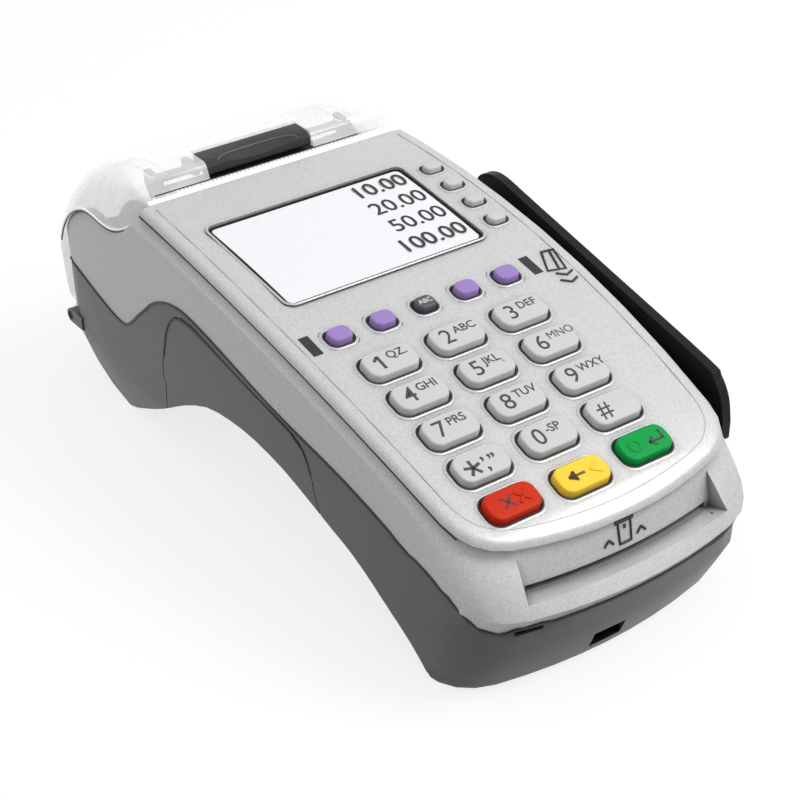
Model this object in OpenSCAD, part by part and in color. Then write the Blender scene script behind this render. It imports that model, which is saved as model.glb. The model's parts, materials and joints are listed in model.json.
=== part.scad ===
// Counter-top payment terminal: keypad case, receipt printer, card slots.
// Millimetres, +X right, +Y to the back, +Z up, origin under the middle.

/* [Case] */
// Length from the front lip to the paper cover
case_len = 208; // [204:0.5:212]
// Width of the case without the swipe rail
case_w = 93.6; // [92:0.2:96]
// Height of the keypad face at its highest line
face_top = 71.2; // [70.4:0.1:72]
// Radius of the keypad face seen from the side
face_r = 447; // [437:1:457]
// Moulded wall thickness
wall = 2.2; // [1.9:0.1:2.4]
// Open seam between two mouldings
seam = 0.35; // [0.25:0.05:0.5]
// Height of the rubber feet below the base
foot_h = 0.8; // [0.5:0.1:1]

/* [Keys] */
// Column spacing of the number keys
col_pitch = 20.5; // [20:0.1:21]
// Row spacing of the number keys
row_pitch = 12.57; // [12.3:0.05:12.7]
// Width of a number key
key_w = 16.4; // [15:0.1:17]
// Depth of a number key
key_l = 10; // [9:0.1:10.2]
// Corner radius of a number key
key_r = 3.2; // [2:0.1:4]
// Height of the key tops above the face
key_rise = 2; // [1.6:0.1:2.4]
// Travel of a pressed key
key_travel = 1.2; // [0.8:0.1:1.3]
// Space round a key in its opening
key_gap = 0.45; // [0.35:0.05:0.6]

/* [Display] */
// Window width
win_w = 63; // [60:0.5:64]
// Window depth along the face
win_l = 40.4; // [38:0.2:41]

/* [Card slots] */
// Width of the chip card slot
slot_w = 57; // [55:0.5:58]
// Height of the chip card slot
slot_h = 2; // [1.4:0.1:2.2]
// Width of the swipe slot
rail_gap = 1.7; // [1.4:0.1:2.2]
// Thickness of the swipe rail
rail_t = 2.8; // [2.2:0.1:3.2]

/* [Printer] */
// Paper roll radius
roll_r = 20.5; // [16:0.1:21]
// Paper roll width
roll_w = 57.5; // [56:0.1:58]
// Platen roller radius
platen_r = 5.2; // [4.6:0.1:5.3]
// Paper cover thickness
cover_t = 1.8; // [1.5:0.1:2]
// Pitch of the tear bar teeth
tooth_pitch = 1.3; // [1:0.1:2]

/* [Hidden] */

// Frame: the drawing's middle is moved over the origin
mid_y = 3.3;
front_y = mid_y - case_len / 2;
rear_y = mid_y + case_len / 2;
xc = -(rail_gap + rail_t) / 2;
half = case_w / 2;
side_x = xc + half;
rail_x = side_x + rail_gap;

// Keypad face: a cylinder about X
axis_y = 71;
axis_z = face_top - face_r;
row4_y = -68.5;
row4_a = asin((axis_y - row4_y) / face_r);
function face_z(y) = axis_z + sqrt(face_r * face_r - pow(y - axis_y, 2));
function face_a(s) = row4_a - s / face_r * 180 / PI;

// Fits
fit = 0.15;
flange_t = 0.8;
flange_out = 0.9;
mat_z = wall + fit + flange_t + key_travel + 0.2;
mat_t = 1.4;
board_t = 1.6;
door_t = 2;
slope = 1.08;
floor_z = foot_h + wall * slope;

// Key positions along the face, measured from the bottom number row
num_x = -6.7;
fn_x = -6.15;
fn_pitch = 13.19;
fn_s = 3 * row_pitch + 14.13;
pick_x = 33.5;
pick_s = 73.1;
pick_pitch = 9.7;
act_s = -12.34;
act_mid_s = -13.22;
win_x = -5.3;
win_s = 87.9;

// Paper path and cover hinge
roll_y = 78.8;
roll_z = 39;
tray_r = 22;
tray_t = 1.6;
tray_half = 29.6;
platen_y = 64.8;
platen_z = 64.4;
hinge_y = rear_y - 5.4;
hinge_z = 17;
pin_r = 1.3;
lug_u = 42.3;
lug_w = 2.5;
lug_r = 2.1;
cover_half = 45;
nose_half = 42.6;
nose_r = 2.4;
dome_r = 36.4;
dome_y = rear_y - dome_r;
dome_z = face_top + 4.2 - dome_r;
nose_y = 63.4;
nose_z = face_top + 1.7;
latch_x0 = -20.8;
latch_x1 = 13;
latch_y = 67.6;
latch_z = face_top + 0.7;

// Gear train
gear_m = 0.5;
gear_x = xc + 33;
gear_w = 3;
platen_n = 24;
idler_n = 22;
pinion_n = 12;
idler_a = 205;
pinion_a = 222;
idler_d = gear_m * (platen_n + idler_n) / 2 + 0.05;
pinion_d = gear_m * (idler_n + pinion_n) / 2 + 0.05;
idler_y = platen_y + idler_d * cos(idler_a);
idler_z = platen_z + idler_d * sin(idler_a);
pinion_y = idler_y + pinion_d * cos(pinion_a);
pinion_z = idler_z + pinion_d * sin(pinion_a);

// Screw posts: side offset, y, counterbore depth and joint height
posts = [[-39.2, -66, 13.5, 18.5], [39.2, -66, 13.5, 18.5], [-39.6, 53, 16, 21], [39.6, 53, 16, 21]];
post_r = 3;
screw_r = 1.2;

// Rubber feet: side offset and y
feet = [[-21.7, -82], [21.7, -82], [-29.5, 75], [29.5, 75]];
foot_w = 12;
foot_l = 7;

// Keypad board below the face, flat under a curved mat
board_x = -6;
board_s = 24;
board_w = 64;
board_l = 76;
board_drop = face_r * (1 - cos(board_l / 2 / face_r * 180 / PI));
board_top = mat_z + mat_t + board_drop;
studs = [for (c = [-0.5, 0.5], r = [0.5, 2.5]) [num_x + c * col_pitch, r * row_pitch]];
stud_r = 1.6;

// Side curves as y, z control points
seam_ctrl = [[120, 40.5], [101, 37.6], [82, 33.2], [69, 31], [62.5, 32.8], [51, 43.8],
  [42, 49.2], [31, 51.2], [14, 48.9], [-13, 43.6], [-43, 38.7], [-66, 32.8], [-77, 30.1],
  [-84, 27.4], [-88, 24.2], [-91, 20.9], [-93.5, 19.9], [-98, 20.3], [-120, 20.3]];
cover_ctrl = [[56.6, 69.2], [60, 65.6], [64, 61.6], [69, 59], [75.5, 58.1], [83, 58.6],
  [89, 57.4], [95.5, 53.4], [100.5, 47.6], [103.6, 41], [104.6, 35], [104.6, 29], [103.4, 22]];
arch_ctrl = [[-77, foot_h], [-74.5, 3.4], [-65, 9.6], [-55, 15], [-46, 18.8], [-37, 21.6],
  [-28, 24.6], [-16, 28], [-3, 29.8], [9, 29.5], [21, 27.2], [33, 21.5], [42.5, 15.6],
  [52, 10], [61, 5.2], [67, 2.2], [71, foot_h]];
door_ctrl = [[43.2, 23], [44.2, 27.2], [42.6, 34.1], [39.6, 43.4], [35, 47.9], [26.9, 48.9],
  [13.8, 46.8], [-4.2, 43.7], [-18.5, 41.4], [-24.8, 39], [-28.6, 33.5], [-30.3, 27.3],
  [-33, 21.4]];

function cubic(a, b, c, d, t) = 0.5 * (2 * b + (c - a) * t + (2 * a - 5 * b + 4 * c - d) * t * t
  + (3 * b - a - 3 * c + d) * t * t * t);
function spline(p, n = 4) = let (m = len(p) - 1) concat([for (i = [0:m - 1]) for (k = [0:n - 1])
  cubic(p[max(i - 1, 0)], p[i], p[i + 1], p[min(i + 2, m)], k / n)], [p[m]]);
function bend(a, b, c, t) = (1 - t) * (1 - t) * a + 2 * t * (1 - t) * b + t * t * c;
function shift(p, v) = [for (q = p) q + v];

// Half of a plan outline, front middle to back middle: h half width, b side bow,
// f front, s front bow, cf front corner, r rear, cr rear corner
function half_plan(h, b, f, s, cf, r, cr) = let (
  side = function (y) h - b * pow(y / 100, 2),
  fr = function (u) f + s * pow(u / 40, 2),
  re = function (u) r - 2 * pow(u / 40, 2),
  uf = side(f + 6), ur = side(r - 4), y1 = fr(uf) + cf, y2 = re(ur) - cr)
  concat([for (i = [0:4]) let (u = (uf - cf) * i / 4) [u, fr(u)]],
    [for (i = [1:4]) bend([uf - cf, fr(uf - cf)], [uf, fr(uf)], [side(y1), y1], i / 4)],
    [for (i = [1:10]) let (y = y1 + (y2 - y1) * i / 10) [side(y), y]],
    [for (i = [1:3]) bend([side(y2), y2], [ur, re(ur)], [ur - cr, re(ur - cr)], i / 3)],
    [for (i = [1:2]) let (u = (ur - cr) * (2 - i) / 2) [u, re(u)]]);

// The front foot leans k to the left, under the middle of the keys
function lean(y, k) = xc - k * min(1, max(0, (-20 - y) / 40));
function ring(e, zf, k = 0) = let (n = len(e)) concat([for (p = e) [lean(p.y, k) - p.x, p.y, zf(p.y)]],
  [for (i = [n - 2:-1:1]) [lean(e[i].y, k) + e[i].x, e[i].y, zf(e[i].y)]]);

// Outline rings of the case from the face down, o in from the outside.
// The rim is rounded over, then a shallow groove runs under it.
function under(d) = function (y) face_z(y) - d;
function level(z) = function (y) z;
belt = function (y) 24.5 + 0.11 * (y + 100);
rim = 1.8;
function rim_rings() = concat([for (a = [0:30:90]) ring(half_plan(half - 3.4 + rim * sin(a), 5,
    front_y + 9.5 - rim * sin(a), 6.5, 10, rear_y - 2.2, 6), under(rim * (1 - cos(a))))],
  [for (g = [[-2.7, 8.7, 2.5], [-3.2, 9.2, 3.4], [-2.4, 8.5, 4.9]]) ring(half_plan(half + g[0], 4.6,
    front_y + g[1], 6.3, 10, rear_y - 2.2, 6), under(g[2]))]);
function wall_rings(o) = [
  ring(half_plan(half - 1 - o, 4, front_y + 6.6 + o, 6, 10, rear_y - 2.2 - o, 6), under(6.4)),
  ring(half_plan(half - 0.3 - o, 2.8, front_y + 2 + o, 5.4, 11, rear_y - 2 - o, 6),
    function (y) 0.45 * (face_z(y) - 6.4) + 0.55 * belt(y)),
  ring(half_plan(half - o, 2.2, front_y + o, 5.6, 13, rear_y - 2 - o, 6), belt),
  ring(half_plan(half - 0.2 - o, 2.4, front_y + 3.1 + o, 5.4, 12, rear_y - 3 - o, 6), level(20)),
  ring(half_plan(half - 0.2 - o, 2.4, front_y + 3.6 + o, 4.8, 11, rear_y - 4 - o, 7), level(13.6), 0.6),
  ring(half_plan(half - 1.1 - o, 2.6, front_y + 5.9 + o, 5.2, 10.5, rear_y - 8.6 - o, 8), level(7), 1.5),
  ring(half_plan(half - 1.6 - o, 2.8, front_y + 7.5 + o, 5.4, 10.5, rear_y - 14.8 - o, 9), level(3), 2.3),
  ring(half_plan(half - 1.9 - o, 3, front_y + 8.8 + o, 5.6, 11, rear_y - 23 - o, 10), level(foot_h), 2.6)];

// Skin a stack of rings, capped by strips across the case
module skin(rings) {
  m = len(rings[0]);
  n = m / 2 + 1;
  k = len(rings);
  polyhedron(points = [for (r = rings) each r], faces = concat(
    [for (i = [0:n - 2]) i == 0 ? [0, 1, m - 1] : i == n - 2 ? [i, n - 1, m - i]
      : [i, i + 1, m - 1 - i, m - i]],
    [for (j = [0:k - 2]) for (i = [0:m - 1]) let (a = j * m + i, b = j * m + (i + 1) % m)
      each [[b, a, a + m], [b, a + m, b + m]]],
    [for (i = [0:n - 2]) let (c = (k - 1) * m) i == 0 ? [c + m - 1, c + 1, c]
      : i == n - 2 ? [c + m - i, c + n - 1, c + i] : [c + m - i, c + m - 1 - i, c + i + 1, c + i]]));
}
module case_solid() { skin(concat(rim_rings(), wall_rings(0))); }
module case_inner(o) {
  skin(concat([ring(half_plan(half - 2.6 - o, 5, front_y + 8.6 + o, 6.5, 10, rear_y - 2.2 - o, 6),
    under(o))], [for (i = [0, 2, 4, 6, 7]) wall_rings(o)[i]]));
}
module side_form(o) { skin([for (i = [0:3]) wall_rings(o)[i]]); }

module place() { translate([0, -mid_y, 0]) children(); }
module along_x(x0, x1) {
  translate([x0, 0, 0]) rotate([90, 0, 90]) linear_extrude(x1 - x0) children();
}
module across() { along_x(-80, 80) children(); }
module on_face(x, s) {
  translate([x, axis_y, axis_z]) rotate([face_a(s), 0, 0]) translate([0, 0, face_r]) children();
}
module round_rect(w, l, r) {
  square([w - 2 * r, l], center = true);
  square([w, l - 2 * r], center = true);
  for (x = [-1, 1], y = [-1, 1]) translate([x * (w / 2 - r), y * (l / 2 - r)]) circle(r, $fn = 16);
}
module soft_block(w, l, r, z0, z1) {
  hull() for (x = [-1, 1], y = [-1, 1])
    translate([x * (w / 2 - r), y * (l / 2 - r), z0]) cylinder(h = z1 - z0, r = r, $fn = 12);
}

// Zones that part the mouldings, in the y, z plane
seam_line = spline(seam_ctrl, 3);
cover_line = spline(cover_ctrl, 3);
arch_line = spline(arch_ctrl, 2);
door_line = spline(door_ctrl, 3);
module zone_top() {
  rear = 104.4;
  across() polygon(concat([[rear, lookup(rear, seam_line) + seam / 2]],
    shift([for (p = seam_line) if (p.x < rear - 1) p], [0, seam / 2]), [[-120, 90], [56.6, 90]],
    shift([for (p = cover_line) if (p.y > 42) p], [-0.1, -seam])));
}
module zone_base(up) {
  across() polygon(concat(shift(seam_line, [0, -seam / 2]), [[-120, foot_h + up]],
    shift(arch_line, [0, up]), [[120, foot_h + up]]));
}
module zone_door(grow) {
  across() offset(delta = grow) polygon(concat(door_line, [[-36, 8], [44, 8]]));
}

// Layout of the keys: column x, face distance, width, depth, corner, rise
function num_key(c, r) = [num_x + (c - 1) * col_pitch, (3 - r) * row_pitch, key_w, key_l, key_r,
  key_rise];
function act_key(c) = [num_x + (c - 1) * col_pitch, c == 1 ? act_mid_s : act_s, key_w, key_l - 0.4,
  key_r, key_rise];
function fn_key(c) = [fn_x + (c - 2) * fn_pitch, fn_s, c == 2 ? 7.8 : 8.6, c == 2 ? 6.6 : 7.2, 2,
  key_rise * 0.9];
function pick_key(k) = [pick_x, pick_s + k * pick_pitch, 7.4, 5.8, 2, key_rise * 0.8];
all_keys = concat([for (r = [0:3]) for (c = [0:2]) num_key(c, r)], [for (c = [0:2]) act_key(c)],
  [for (c = [0:4]) fn_key(c)], [for (k = [0:3]) pick_key(k)]);

module key_piece(k, tint) {
  color(tint) on_face(k[0], k[1]) {
    hull() for (x = [-1, 1], y = [-1, 1]) translate([x * (k[2] / 2 - k[4]), y * (k[3] / 2 - k[4]), 0]) {
      translate([0, 0, -wall - fit - 0.1]) cylinder(h = wall + fit + 0.1 + k[5] - 0.7, r = k[4], $fn = 12);
      translate([0, 0, k[5] - 0.7]) cylinder(h = 0.7, r1 = k[4], r2 = k[4] - 0.7, $fn = 12);
    }
    translate([0, 0, -wall - fit - flange_t]) linear_extrude(flange_t)
      round_rect(k[2] + 2 * flange_out, k[3] + 2 * flange_out, k[4] + flange_out);
  }
}

// Recess and slot for a chip card, swept round the bowed front
sweep_r = 160;
sweep_a = 11.5;
lip_z = 28.2;
slot_z = lip_z - 0.9;
module front_sweep(a) {
  translate([xc, front_y + sweep_r, 0]) rotate([0, 0, -90 - a]) rotate_extrude(angle = 2 * a, $fn = 180)
    children();
}
module card_recess() {
  front_sweep(sweep_a) polygon([[sweep_r - 9.4, 38.4], [sweep_r - 7.4, slot_z + slot_h + 0.3],
    [sweep_r - 7.4, slot_z - 0.2], [sweep_r - 1, lip_z], [sweep_r + 9, lip_z + 0.2], [sweep_r + 9, 38.4]]);
  translate([xc - slot_w / 2, front_y + 6.6, slot_z]) cube([slot_w, 10.4, slot_h]);
}
module recess_liner() {
  front_sweep(sweep_a + 0.75) polygon([[sweep_r - 11.6, 41], [sweep_r - 9.4, slot_z - 2],
    [sweep_r, lip_z - 2.4], [sweep_r, 41]]);
}

module seam_notches() {
  for (u = [-30, 30.8]) translate([xc + u - 3.7, front_y - 1, 18.7])
    cube([7.4, 11, 2.7]);
}
module front_hole() { translate([-12, front_y - 2, 4]) cube([9.8, 12.5, 4.9]); }

module top_housing() place() {
  color("Silver") difference() {
    union() {
      difference() {
        intersection() { case_solid(); zone_top(); }
        case_inner(wall);
      }
      intersection() {
        case_inner(wall * 0.6);
        zone_top();
        union() {
          recess_liner();
          for (p = posts) translate([xc + p[0], p[1], p[3] + 0.1])
            cylinder(h = 60, r = post_r, $fn = 14);
          on_board() for (p = studs) translate([p.x - board_x, p.y - board_s, 0])
            cylinder(h = board_top, r = stud_r, $fn = 12);
        }
      }
      for (p = posts) intersection() {
        case_inner(wall * 0.6);
        translate([xc + p[0], p[1], p[3] + 0.1]) cylinder(h = 32, r = post_r, $fn = 14);
      }
    }
    for (p = posts) translate([xc + p[0], p[1], p[3] - 1]) cylinder(h = 12, r = screw_r + 0.1, $fn = 12);
    card_recess();
    seam_notches();
    on_face(win_x, win_s) soft_block(win_w, win_l, 2.4, -9, 4);
    for (k = all_keys) on_face(k[0], k[1])
      soft_block(k[2] + 2 * key_gap, k[3] + 2 * key_gap, k[4] + key_gap, -6, 4);
    translate([xc - half, 55.5, face_top - 1.6]) cube([case_w, 10, 9]);
    translate([xc + half - 8, -26.2, 43.8]) cube([12, 12.4, 8.4]);
  }
}
module on_board() { on_face(board_x, board_s) translate([0, 0, -board_top]) children(); }

// Bay at the back for the cable sockets
bay_half = 31;
bay_y = rear_y - 18.4;
sockets = [[-19, 15.4], [-1, 17], [18, 10]];
socket_h = 9;
socket_z = floor_z + 0.05;
module base_housing() place() {
  color("DimGray") difference() {
    union() {
      difference() {
        intersection() { case_solid(); zone_base(0); }
        base_cavity();
      }
      intersection() {
        case_inner(0.6);
        zone_base(0.6);
        union() {
          for (p = posts) translate([xc + p[0], p[1], 0]) cylinder(h = p[3] - 0.1, r = post_r + 0.6, $fn = 14);
          for (u = [-33, 33], y = [-40, 37]) translate([xc + u, y, 10])
            cylinder(h = 30 - fit, r = 2.4, $fn = 12);
          for (u = [-23, 23]) translate([xc + u, -66, 0]) soft_block(2, 40, 0.8, 0, slot_z - 5.2);
          for (u = [-30.4, 30.4]) translate([xc + u, 81, 0]) soft_block(2, 42, 0.8, 0, 30);
          translate([xc - bay_half - 2, bay_y - 2, 0]) cube([2 * bay_half + 4, 22, 14.4]);
        }
      }
      for (d = [-1, 1]) hinge_lug(d);
    }
    door_recess();
    for (p = posts) translate([xc + p[0], p[1], -1]) {
      cylinder(h = p[2] + 1, r = 2.9, $fn = 16);
      cylinder(h = 40, r = screw_r + 0.2, $fn = 12);
    }
    front_hole();
    seam_notches();
    translate([xc - 29.4, 50, 14.6]) cube([58.8, 52.6, 30]);
    translate([xc - 33, roll_y, roll_z]) rotate([0, 90, 0])
      cylinder(h = 66, r = tray_r + tray_t + fit, $fn = 72);
    translate([xc - bay_half, bay_y, floor_z]) cube([2 * bay_half, 40, socket_h + 0.2]);
    for (s = sockets) translate([xc + s[0] - s[1] / 2 - 0.1, bay_y - 8, socket_z - 0.05])
      cube([s[1] + 0.2, 9, socket_h + 0.2]);
    translate([xc - lug_u, hinge_y - 3.8, hinge_z - 3.6]) cube([2 * lug_u, 20, 10]);
    translate([xc - 60, hinge_y, hinge_z]) rotate([0, 90, 0]) cylinder(h = 120, r = pin_r + 0.1, $fn = 32);
    foot_pads(0.05, -1, foot_h + 0.7);
  }
}
module hinge_lug(d) {
  along_x(xc + d * (lug_u + lug_w / 2) - lug_w / 2, xc + d * (lug_u + lug_w / 2) + lug_w / 2) {
    translate([hinge_y, hinge_z]) circle(lug_r, $fn = 24);
    translate([hinge_y - 7, hinge_z - lug_r]) square([7, 2 * lug_r]);
  }
}
module base_cavity() {
  intersection() { case_inner(wall + door_t + 0.2); zone_cavity(wall + door_t + 0.3); }
  intersection() {
    case_inner(wall);
    zone_cavity(wall);
    union() {
      translate([-90, -150, -10]) cube([180, 150 - 37, 120]);
      translate([-90, 47.5, -10]) cube([180, 100, 120]);
    }
  }
}
module zone_cavity(up) {
  across() polygon(concat([[120, 60], [-120, 60], [-120, foot_h + up * slope]],
    shift(arch_line, [0, up * slope]), [[120, foot_h + up * slope]]));
}
module door_recess() {
  difference() {
    zone_door(seam);
    intersection() { case_inner(door_t + 0.2); zone_base(door_t + 0.2); }
  }
}

module underside_door() place() {
  color("Gray") difference() {
    intersection() { case_solid(); zone_base(0); zone_door(0); }
    intersection() { case_inner(door_t); zone_cavity(door_t); }
    for (u = [-28:8:28]) translate([xc + u, 2, 0]) soft_block(3, 16, 1.2, 26, 30.4);
  }
}

module foot_pads(grow, z0, z1) {
  for (f = feet) translate([xc + f.x, f.y, z0]) linear_extrude(z1 - z0)
    round_rect(foot_w + 2 * grow, foot_l + 2 * grow, 2);
}
module rubber_feet() place() {
  color("Black") foot_pads(0, 0, foot_h + 0.65);
}

module case_screws() place() {
  color("LightSteelBlue") for (p = posts) translate([xc + p[0], p[1], p[2]]) difference() {
    union() {
      translate([0, 0, -2.4]) cylinder(h = 2.35, r = 2.6, $fn = 32);
      translate([0, 0, -1]) cylinder(h = p[3] - p[2] + 11, r = screw_r, $fn = 24);
    }
    translate([-1.6, -0.35, -3]) cube([3.2, 0.7, 1.4]);
    translate([-0.35, -1.6, -3]) cube([0.7, 3.2, 1.4]);
  }
}

module swipe_rail() place() {
  line = spline([[-75.4, 36], [-74, 42.6], [-70.6, 47.6], [-66, 49.9], [-30, 57.9], [6, 65.8],
    [17, 68.2], [22.5, 67.9], [26.4, 65.4], [28.2, 60]]);
  color("Black") difference() {
    union() {
      along_x(rail_x, rail_x + rail_t) polygon(concat(line, [[28.2, 46], [-40, 33], [-75.4, 31]]));
      along_x(rail_x - rail_gap - 6, rail_x + 1) polygon([[-72, 35], [26, 52], [26, 49], [-72, 32]]);
    }
    side_form(-0.12);
  }
}

// Clear cover over the roll: a shell drawn tight over balls, cut along the cheeks
module cover_balls(t) {
  hull() {
    for (d = [-1, 1]) translate([xc, 0, 0]) {
      translate([d * (nose_half - nose_r), nose_y, nose_z]) sphere(max(0.2, nose_r - t), $fn = 14);
      for (a = [0:15:90]) let (r = 5 + 9 * sin(a))
        translate([d * (cover_half - r), dome_y + (dome_r - r) * cos(a), dome_z + (dome_r - r) * sin(a)])
          sphere(r - t, $fn = 20);
      translate([d * (cover_half - 5.4), rear_y - 4.2, 24]) sphere(4 - t, $fn = 14);
      translate([d * 38, hinge_y, hinge_z]) rotate([0, d * 90, 0])
        cylinder(h = 0.6, r = 3 - t, $fn = 16);
    }
  }
}
module cover_zone() {
  across() polygon(concat([[59.4, 66.2], [59.4, 90], [120, 90], [120, 10], [96, 10], [99.6, 21]],
    [for (i = [len(cover_line) - 1:-1:5]) cover_line[i]]));
}
module rib_slabs() {
  difference() {
    for (u = [-33.2, -29, 29, 33.2]) translate([xc + u - 0.4, 66, 30]) cube([0.8, 60, 60]);
    cover_balls(cover_t + 1);
  }
}
module paper_cover() place() {
  color("WhiteSmoke", 0.6) difference() {
    union() {
      intersection() {
        difference() {
          cover_balls(0);
          difference() { cover_balls(cover_t); rib_slabs(); }
        }
        cover_zone();
      }
      translate([xc - lug_u + 0.5, hinge_y, hinge_z]) rotate([0, 90, 0])
        cylinder(h = 2 * lug_u - 1, r = 3.1, $fn = 28);
    }
    translate([xc - lug_u, hinge_y, hinge_z]) rotate([0, 90, 0])
      cylinder(h = 2 * lug_u, r = pin_r + 0.1, $fn = 24);
    translate([latch_x0 - 0.3, nose_y - 8, 60]) cube([latch_x1 - latch_x0 + 0.6, 15, 30]);
    along_x(xc - 36.4, gear_x + gear_w + 1.2) {
      polygon([[50, 55], [50, nose_z - 1.7], [nose_y + 1.4, nose_z - 1.9], [platen_y + 2, 55]]);
      translate([platen_y, platen_z]) circle(platen_r + 0.8, $fn = 48);
    }
    along_x(gear_x - 0.4, gear_x + gear_w + 0.8) translate([platen_y, platen_z]) circle(7, $fn = 48);
  }
}

// Bracket inside the cover that carries the platen and the latch
arm_u = 31.6;
module cover_frame() place() {
  color("DarkSlateGray") difference() {
    union() {
      for (d = [-1, 1]) along_x(xc + d * arm_u - 1, xc + d * arm_u + 1) arm_shape();
      for (x = [latch_x0 - 2.2, latch_x1 + 0.4]) along_x(x, x + 1.8)
        polygon([[65, 70.4], [72, 70.4], [72, latch_z + 1.4], [68, latch_z + 1.4],
          [65.6, latch_z + 0.6]]);
      along_x(xc - arm_u, xc + arm_u) polygon([[69.4, 69], [71.4, 69], [71.4, 71], [69.4, 71]]);
    }
    along_x(-80, 80) translate([platen_y, platen_z]) circle(1.55, $fn = 32);
    along_x(-80, 80) translate([latch_y, latch_z]) circle(0.85, $fn = 24);
  }
}
module arm_shape() {
  translate([platen_y, platen_z]) circle(3.4, $fn = 40);
  polygon([[platen_y - 3, platen_z + 1], [platen_y + 3.2, platen_z - 1], [72.4, 69.4], [72.4, 72.8],
    [67.6, 72.6], [65.4, 71.6]]);
}
module latch_pin() place() {
  color("Silver") along_x(latch_x0 - 2.4, latch_x1 + 2.4) translate([latch_y, latch_z])
    circle(0.8, $fn = 24);
}
module hinge_pin() place() {
  color("Black") {
    along_x(xc - lug_u - lug_w + 0.2, xc + lug_u + lug_w - 0.2) translate([hinge_y, hinge_z])
      circle(pin_r, $fn = 32);
  }
}
module cover_latch() place() {
  color("DarkSlateGray") difference() {
    along_x(latch_x0, latch_x1) polygon([[61, nose_z - 1], [61.3, nose_z + 1], [62.6, nose_z + 1.9],
      [65.6, nose_z + 2.2], [68.9, nose_z + 2.2], [68.9, nose_z - 2.3], [66.2, nose_z - 2.3],
      [65.2, nose_z - 1.7], [61.6, nose_z - 1.7]]);
    along_x(-80, 80) translate([latch_y, latch_z]) circle(0.85, $fn = 24);
    translate([(latch_x0 + latch_x1) / 2, 67, nose_z + 2.2]) rotate([18, 0, 0]) translate([0, 0, 71])
      rotate([90, 0, 0]) cylinder(h = 12, r = 71, $fn = 200);
  }
}

module tear_bar() place() {
  teeth = floor(65 / tooth_pitch);
  x0 = xc + 1.5 - teeth * tooth_pitch / 2;
  color("White") translate([0, 0, face_top - 1.5]) difference() {
    linear_extrude(2.1) polygon(concat([[xc - 40.4, 55.6], [xc - 40.4, 57.3]],
      [for (i = [0:teeth - 1]) each [[x0 + i * tooth_pitch, 57.3], [x0 + (i + 0.5) * tooth_pitch, 58.2]]],
      [[x0 + teeth * tooth_pitch, 57.3], [xc + 40.4, 57.3], [xc + 40.4, 55.6]]));
    translate([-60, 55.6, 1.2]) rotate([16.6, 0, 0]) translate([0, -1, 0]) cube([120, 8, 4]);
  }
}

module face_shell(d0, d1) {
  translate([0, axis_y, axis_z]) rotate([0, 90, 0]) difference() {
    cylinder(h = 200, r = face_r - d0, center = true, $fn = 360);
    cylinder(h = 210, r = face_r - d1, center = true, $fn = 360);
  }
}
module display_bezel() place() {
  color("Black") intersection() {
    face_shell(0.25, wall - 0.1);
    on_face(win_x, win_s) translate([0, 0, -8]) linear_extrude(12) difference() {
      round_rect(win_w - 0.2, win_l - 0.2, 2.3);
      round_rect(win_w - 2, win_l - 2, 1.6);
    }
  }
}
module display_lens() place() {
  color("White", 0.5) intersection() {
    face_shell(0.8, wall);
    on_face(win_x, win_s) translate([0, 0, -8]) linear_extrude(12) round_rect(win_w - 2.2, win_l - 2.2, 1.5);
  }
}
module display_panel() place() {
  color("Ivory") on_face(win_x, win_s) translate([0, 0, -wall - 4.7]) linear_extrude(4)
    square([win_w + 3, win_l + 3], center = true);
}

module keypad_mat() place() {
  color("SlateGray") intersection() {
    translate([0, axis_y, axis_z]) rotate([0, 90, 0])
      cylinder(h = 200, r = face_r - mat_z, center = true, $fn = 1080);
    on_board() linear_extrude(5) difference() {
      translate([-31, -board_l / 2 - 4]) square([61.5, board_l]);
      for (p = studs) translate([p.x - board_x, p.y - board_s]) circle(stud_r + 0.3, $fn = 24);
    }
  }
}
module keypad_board() place() {
  color("SeaGreen") on_board() translate([-board_w / 2, -board_l / 2, -board_t - 0.05])
    cube([board_w, board_l, board_t]);
}
main_z = 40;
module main_board() place() {
  color("SeaGreen") {
    translate([xc - 37, -46, main_z]) cube([74, 89.5, board_t]);
    translate([xc - 36.4, 43, main_z]) cube([69.4, 9.6, board_t]);
  }
  color("Black") {
    translate([xc - 8, -14, main_z + board_t]) cube([17, 17, 1.6]);
    translate([xc + 14, -12, main_z + board_t]) cube([12, 18, 1.2]);
    translate([xc - 28, -30, main_z + board_t]) cube([14, 10, 1.8]);
    translate([xc - 20, 32, main_z + board_t]) cube([30, 6, 5]);
  }
}
module backup_cell() place() {
  color("Gainsboro") translate([xc + 22, 26, main_z + board_t + 0.05]) {
    cylinder(h = 3.2, r = 10, $fn = 64);
    cylinder(h = 3.5, r = 8.6, $fn = 64);
  }
}
reader_y = front_y + 14.2;
reader_l = 42;
module card_reader() place() {
  color("Black") difference() {
    translate([xc - slot_w / 2 - 1, reader_y, slot_z - 5]) cube([slot_w + 2, reader_l, 10.8]);
    translate([xc - slot_w / 2, reader_y - 1, slot_z - 0.1]) cube([slot_w, reader_l - 1.2, slot_h + 0.2]);
    translate([xc - 20, reader_y + 11, slot_z + slot_h + 1.4]) cube([40, 26, 10]);
  }
  color("Goldenrod") for (k = [0:7]) translate([xc - 8.5 + (k % 4) * 5, reader_y + 14 + 8 * floor(k / 4),
    slot_z + slot_h - 0.25]) cube([2, 6, 0.6]);
}
module stripe_head() place() {
  color("Silver") translate([xc + half - 7.2, -26, 44]) {
    cube([6, 12, 8]);
    translate([5.8, 6, 1]) cylinder(h = 6, r = 1.5, $fn = 40);
  }
}
module buzzer() place() {
  color("Black") translate([xc + 14, -82.3, floor_z + 0.05]) difference() {
    cylinder(h = 4.5, r = 4.6, $fn = 48);
    translate([0, 0, 3.5]) cylinder(h = 2, r = 1, $fn = 24);
  }
}

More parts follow.
